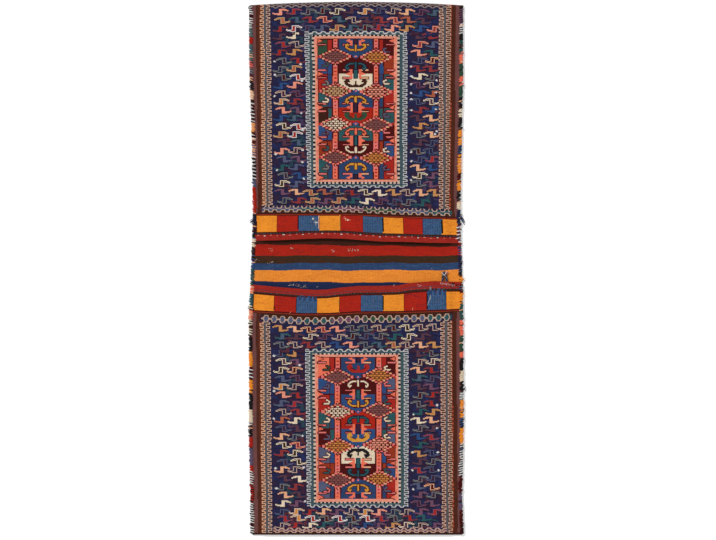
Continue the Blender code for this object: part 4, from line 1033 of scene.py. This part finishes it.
def lacing(name):
    side, runs = lacings[name]["side"], lacings[name]["runs"]
    yarns, chance = Yarns(), random.Random(lacings[name]["seed"])
    y, turn = top - laced["endGap"], 0
    while y > -top + laced["endGap"]:
        place = middleY - y / stitch
        k = next(i for i, run in enumerate(runs) if place < run[0])
        start = runs[k - 1][0] if k else topFold
        share = (place - start) / (min(runs[k][0], bottomFold) - start)
        full = 0.84 + 0.2 * math.sin(math.pi * min(max(share, 0), 1)) ** 0.6 + chance.uniform(-0.10, 0.10)
        loose = lineAt(lacings[name]["outwards"], y) + chance.uniform(-0.0008, 0.0009)
        loose = loose + (0.0018 if chance.random() < 0.10 else 0)
        (upper, lower), fade = laced["mouths"], laced["fade"]
        onPouch = 1 - smooth((upper - y) / fade) + smooth((lower - y + fade) / fade)
        high = laced["high"] + laced["higherOnPouch"] * min(1, float(onPouch))
        reach, radius = laced["reach"] * full, laced["radius"]
        cx, a = clothEdge(side, y) - side * (reach / 2 - loose), reach / 2 - radius
        cz, b = high / 2, high / 2 - radius
        slant = side * laced["slant"] * (1 if chance.random() < 0.9 else -0.6)
        path = []
        for i in range(laced["corners"]):
            angle = i * 2 * math.pi / laced["corners"] + 0.39
            c, s = math.cos(angle), math.sin(angle)
            px = cx + a * math.copysign(abs(c) ** 0.75, c)
            pz = cz + b * math.copysign(abs(s) ** 0.75, s)
            path.append((px, float(bowed(px - centring, y)) + slant * c, pz))
        colours = runs[k][1].split()
        colour = colours[turn % len(colours)]
        if chance.random() < laced["strayShare"]:
            colour = chance.choice(laced["stray"])
        yarns.add(path, radius * (1 + 0.10 * chance.uniform(-1, 1)), colour, closed=True)
        y -= laced["pitch"] + chance.uniform(-0.0002, 0.0002)
        turn += 1
    yarns.mesh(name + "Lacing", "lacing_yarn", *[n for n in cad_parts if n.startswith(name + "_")])


print("lacing the sides")
for name in lacings:
    lacing(name)


# Loose ends, the stub of a closure loop and old repairs
tufts = (  # node, side, place down the bag, and each strand's wool, length and lean
    ("yarn_end_left_upper", -1, 221.5, (("navy", 0.013, 0.2), ("black", 0.012, -0.3), ("slate", 0.010, 0.5),
                                        ("navy", 0.011, -0.1))),
    ("yarn_end_left_lower", -1, 307, (("cream", 0.011, 0.1), ("black", 0.010, -0.5), ("cream", 0.008, 0.6),
                                      ("black", 0.009, 0.2))),
    ("yarn_end_right_upper", 1, 213, (("navy", 0.019, -1.3), ("navy", 0.018, -1.7), ("navy", 0.016, -1.0),
                                      ("blue", 0.018, -1.5), ("white", 0.013, -1.2), ("navy", 0.014, -0.5))),
    ("yarn_end_right_bridge", 1, 279.5, (("orange", 0.011, 0.3), ("gold", 0.010, -0.3),
                                         ("orange", 0.009, 0.0))),
    ("yarn_end_right_lower", 1, 389, (("black", 0.011, -0.3), ("navy", 0.010, 0.3), ("black", 0.008, 0.0))),
)


def tuft(node, side, place, strands, seed):
    yarns, chance = Yarns(), random.Random(seed)
    y, edge = (middleY - place) * stitch, clothEdge(side, (middleY - place) * stitch)
    for colour, reach, lean in strands:
        path = []
        for i in range(6):
            t = i / 5
            px = edge + side * (-0.004 + reach * t)
            py = y + lean * reach * t + 0.0012 * math.sin(5 * t + lean * 7)
            pz = 0.0075 + 0.0018 * math.sin(3 * t) - 0.0035 * t * t + chance.uniform(-0.0004, 0.0004)
            path.append((px, py, pz))
        yarns.add(path, np.linspace(0.0016, 0.0009, 6), colour, sides=5)
    yarns.mesh(node.replace("yarn_end", "tuft"), "lacing_yarn", node)


for k, parts in enumerate(tufts):
    tuft(*parts, 20 + k)

loop = Yarns()
loopPlies = (("slate", 0.0), ("black", 1.6), ("grey", 3.1), ("navy", 4.7))  # and where each twist starts
baseX = (444.2 - middleX) * stitch + centring
baseY = (middleY - 283.2) * stitch
for colour, start in loopPlies:
    path = []
    for i in range(25):
        t = i / 24
        angle = math.pi * t
        cx = baseX + 0.0060 * math.cos(angle) * (1 if t < 0.5 else 0.8)
        cy = baseY + 0.031 * math.sin(angle) - 0.002
        cz = 0.0108 - 0.0040 * math.sin(angle)
        twist = 24 * t + start
        path.append((cx + 0.0017 * math.cos(twist), cy, cz + 0.0013 * math.sin(twist)))
    loop.add(path, 0.0016, colour, sides=6)
for lean, reach, colour in ((0.5, 0.012, "white"), (-0.3, 0.012, "slate"), (0.9, 0.010, "pink"),
                            (-0.8, 0.009, "white"), (0.1, 0.013, "black"), (1.4, 0.008, "grey")):
    path = [(baseX + lean * reach * t, baseY + 0.020 + reach * t, 0.0085 + 0.0012 * math.sin(3 * t))
            for t in np.linspace(0, 1, 5)]
    loop.add(path, np.linspace(0.0012, 0.0006, 5), colour, sides=5)
loop.mesh("closureLoop", "loop_cord", "closure_loop_stub")


def heightAt(px, py):  # how high the cloth lies at a place on the side that shows
    y = (middleY - py) * stitch
    x = (px - middleX) * stitch
    ws = np.linspace(0, 0.2, 800)
    for band in (ws, strip - ws):
        around = lay(np.full(band.shape, x), band, True)
        near = np.abs(around[:, 1] - y)
        if near.min() < 0.0005:
            return float(around[near.argmin(), 2])
    return float(lay(x, backStart + top - foldRadius - y, False)[2]) + 0.001


repairs = Yarns()
chance = random.Random(31)


def bit(x, y, reach, angle, thick, colour):  # a short thread that stands a little proud in its middle
    dx, dy = math.cos(angle) * reach, math.sin(angle) * reach
    z = heightAt(x, y)
    path = [((x - middleX) * stitch + centring + dx * (t - 0.5), (middleY - y) * stitch + dy * (t - 0.5),
             z + thick * (math.sin(math.pi * t) - 0.35)) for t in (0, 0.25, 0.5, 0.75, 1)]
    repairs.add(path, (thick * 0.5, thick, thick, thick, thick * 0.5), colour, sides=5)


for x0, x1, y0, y1, count in bridge["threads"]:
    for n in range(count):
        x, y, reach = chance.uniform(x0, x1), chance.uniform(y0, y1), chance.uniform(0.0022, 0.0042)
        angle = chance.choice((0.1, 0.3, 1.5, -0.3, 2.6))
        bit(x, y, reach, angle, 0.00042, chance.choice(("white", "cream", "white", "peach")))
for n in range(10):  # pale stitches at the foot of the loop, then the seam beside it
    bit(440.5 + n * 1.5, 283.2 + 0.22 * n + chance.uniform(-0.5, 0.5), chance.uniform(0.004, 0.0075),
        1.5 + 0.25 * math.sin(3 * n), 0.0005, "white")
for n in range(9):
    bit(451 + 1.4 * n, 283.4 + 0.35 * n, 0.0075, 1.2, 0.0009, "oxblood" if n % 3 else "brick")
# single loose threads, then worn spots at the upper mouth
for parts in ((429, 301, 0.026, 1.15, 0.00045, "white"), (430, 297, 0.012, 1.3, 0.00045, "cream"),
              (412.6, 309, 0.009, 1.5, 0.0006, "peach"), (290.4, 312.4, 0.008, 0.9, 0.0005, "peach")):
    bit(*parts)
for x, y, colour in ((313, 220, "white"), (315, 222, "white"), (311.4, 224, "slate"), (316.4, 224.4, "white"),
                     (346, 220, "peach"), (348, 221, "white"), (344.4, 218.4, "pink"), (350, 219.6, "peach")):
    for n in range(3):
        px, py = x + chance.uniform(-1, 1), y + chance.uniform(-0.8, 0.8)
        bit(px, py, 0.0036, chance.uniform(-0.4, 0.9), 0.00045, colour)
repairs.mesh("threadsAndRepairs", "lacing_yarn")

# Where it lies, and the light
floorTree = Tree(bpy.data.materials.new("paleFloor"))
lit = floorTree.node("BsdfDiffuse", Color=(0.9, 0.9, 0.9, 1))
glow = floorTree.node("Emission", Color=(1, 1, 1, 1), Strength=0.3)
brighter = floorTree.node("AddShader", i0=lit, i1=glow)
seen = floorTree.node("LightPath", out="Is Camera Ray")
bpy.ops.object.select_all(action="DESELECT")
bpy.ops.mesh.primitive_plane_add(size=12)
floor = bpy.context.active_object
floor.name = "floor"
floor.data.materials.append(floorTree.finish(floorTree.node("MixShader", i0=seen, i1=lit, i2=brighter)))

roomTree = Tree(bpy.data.worlds.new("whiteRoom"))
eye, gloss, glass = (roomTree.node("LightPath", out="Is " + kind + " Ray")
                     for kind in ("Camera", "Glossy", "Transmission"))
room = roomTree.node("Background", Color=(1, 1, 1, 1), Strength=0.55)
white = roomTree.node("Background", Color=(1, 1, 1, 1))
whole = roomTree.node("MixShader", i0=eye.most(gloss).most(glass), i1=room, i2=white)
bpy.context.scene.world = roomTree.finish(whole, "OutputWorld")

bpy.ops.object.light_add(type="SUN", rotation=(math.radians(-28), math.radians(-30), 0))
sun = bpy.context.active_object
sun.data.energy = 1.75
sun.data.angle = math.radians(14)

lens, sensor, pictureWidth = 200, 36, 1.8824  # a long lens straight above, and what it takes in at the floor
place = (0.0042 + centring, -0.0045, pictureWidth * lens / sensor)
bpy.ops.object.camera_add(location=place, rotation=(0, 0, 0))
camera = bpy.context.active_object
camera.data.lens, camera.data.sensor_width, camera.data.clip_end = lens, sensor, 100
bpy.context.scene.camera = camera
bpy.context.scene.view_settings.view_transform = "Standard"
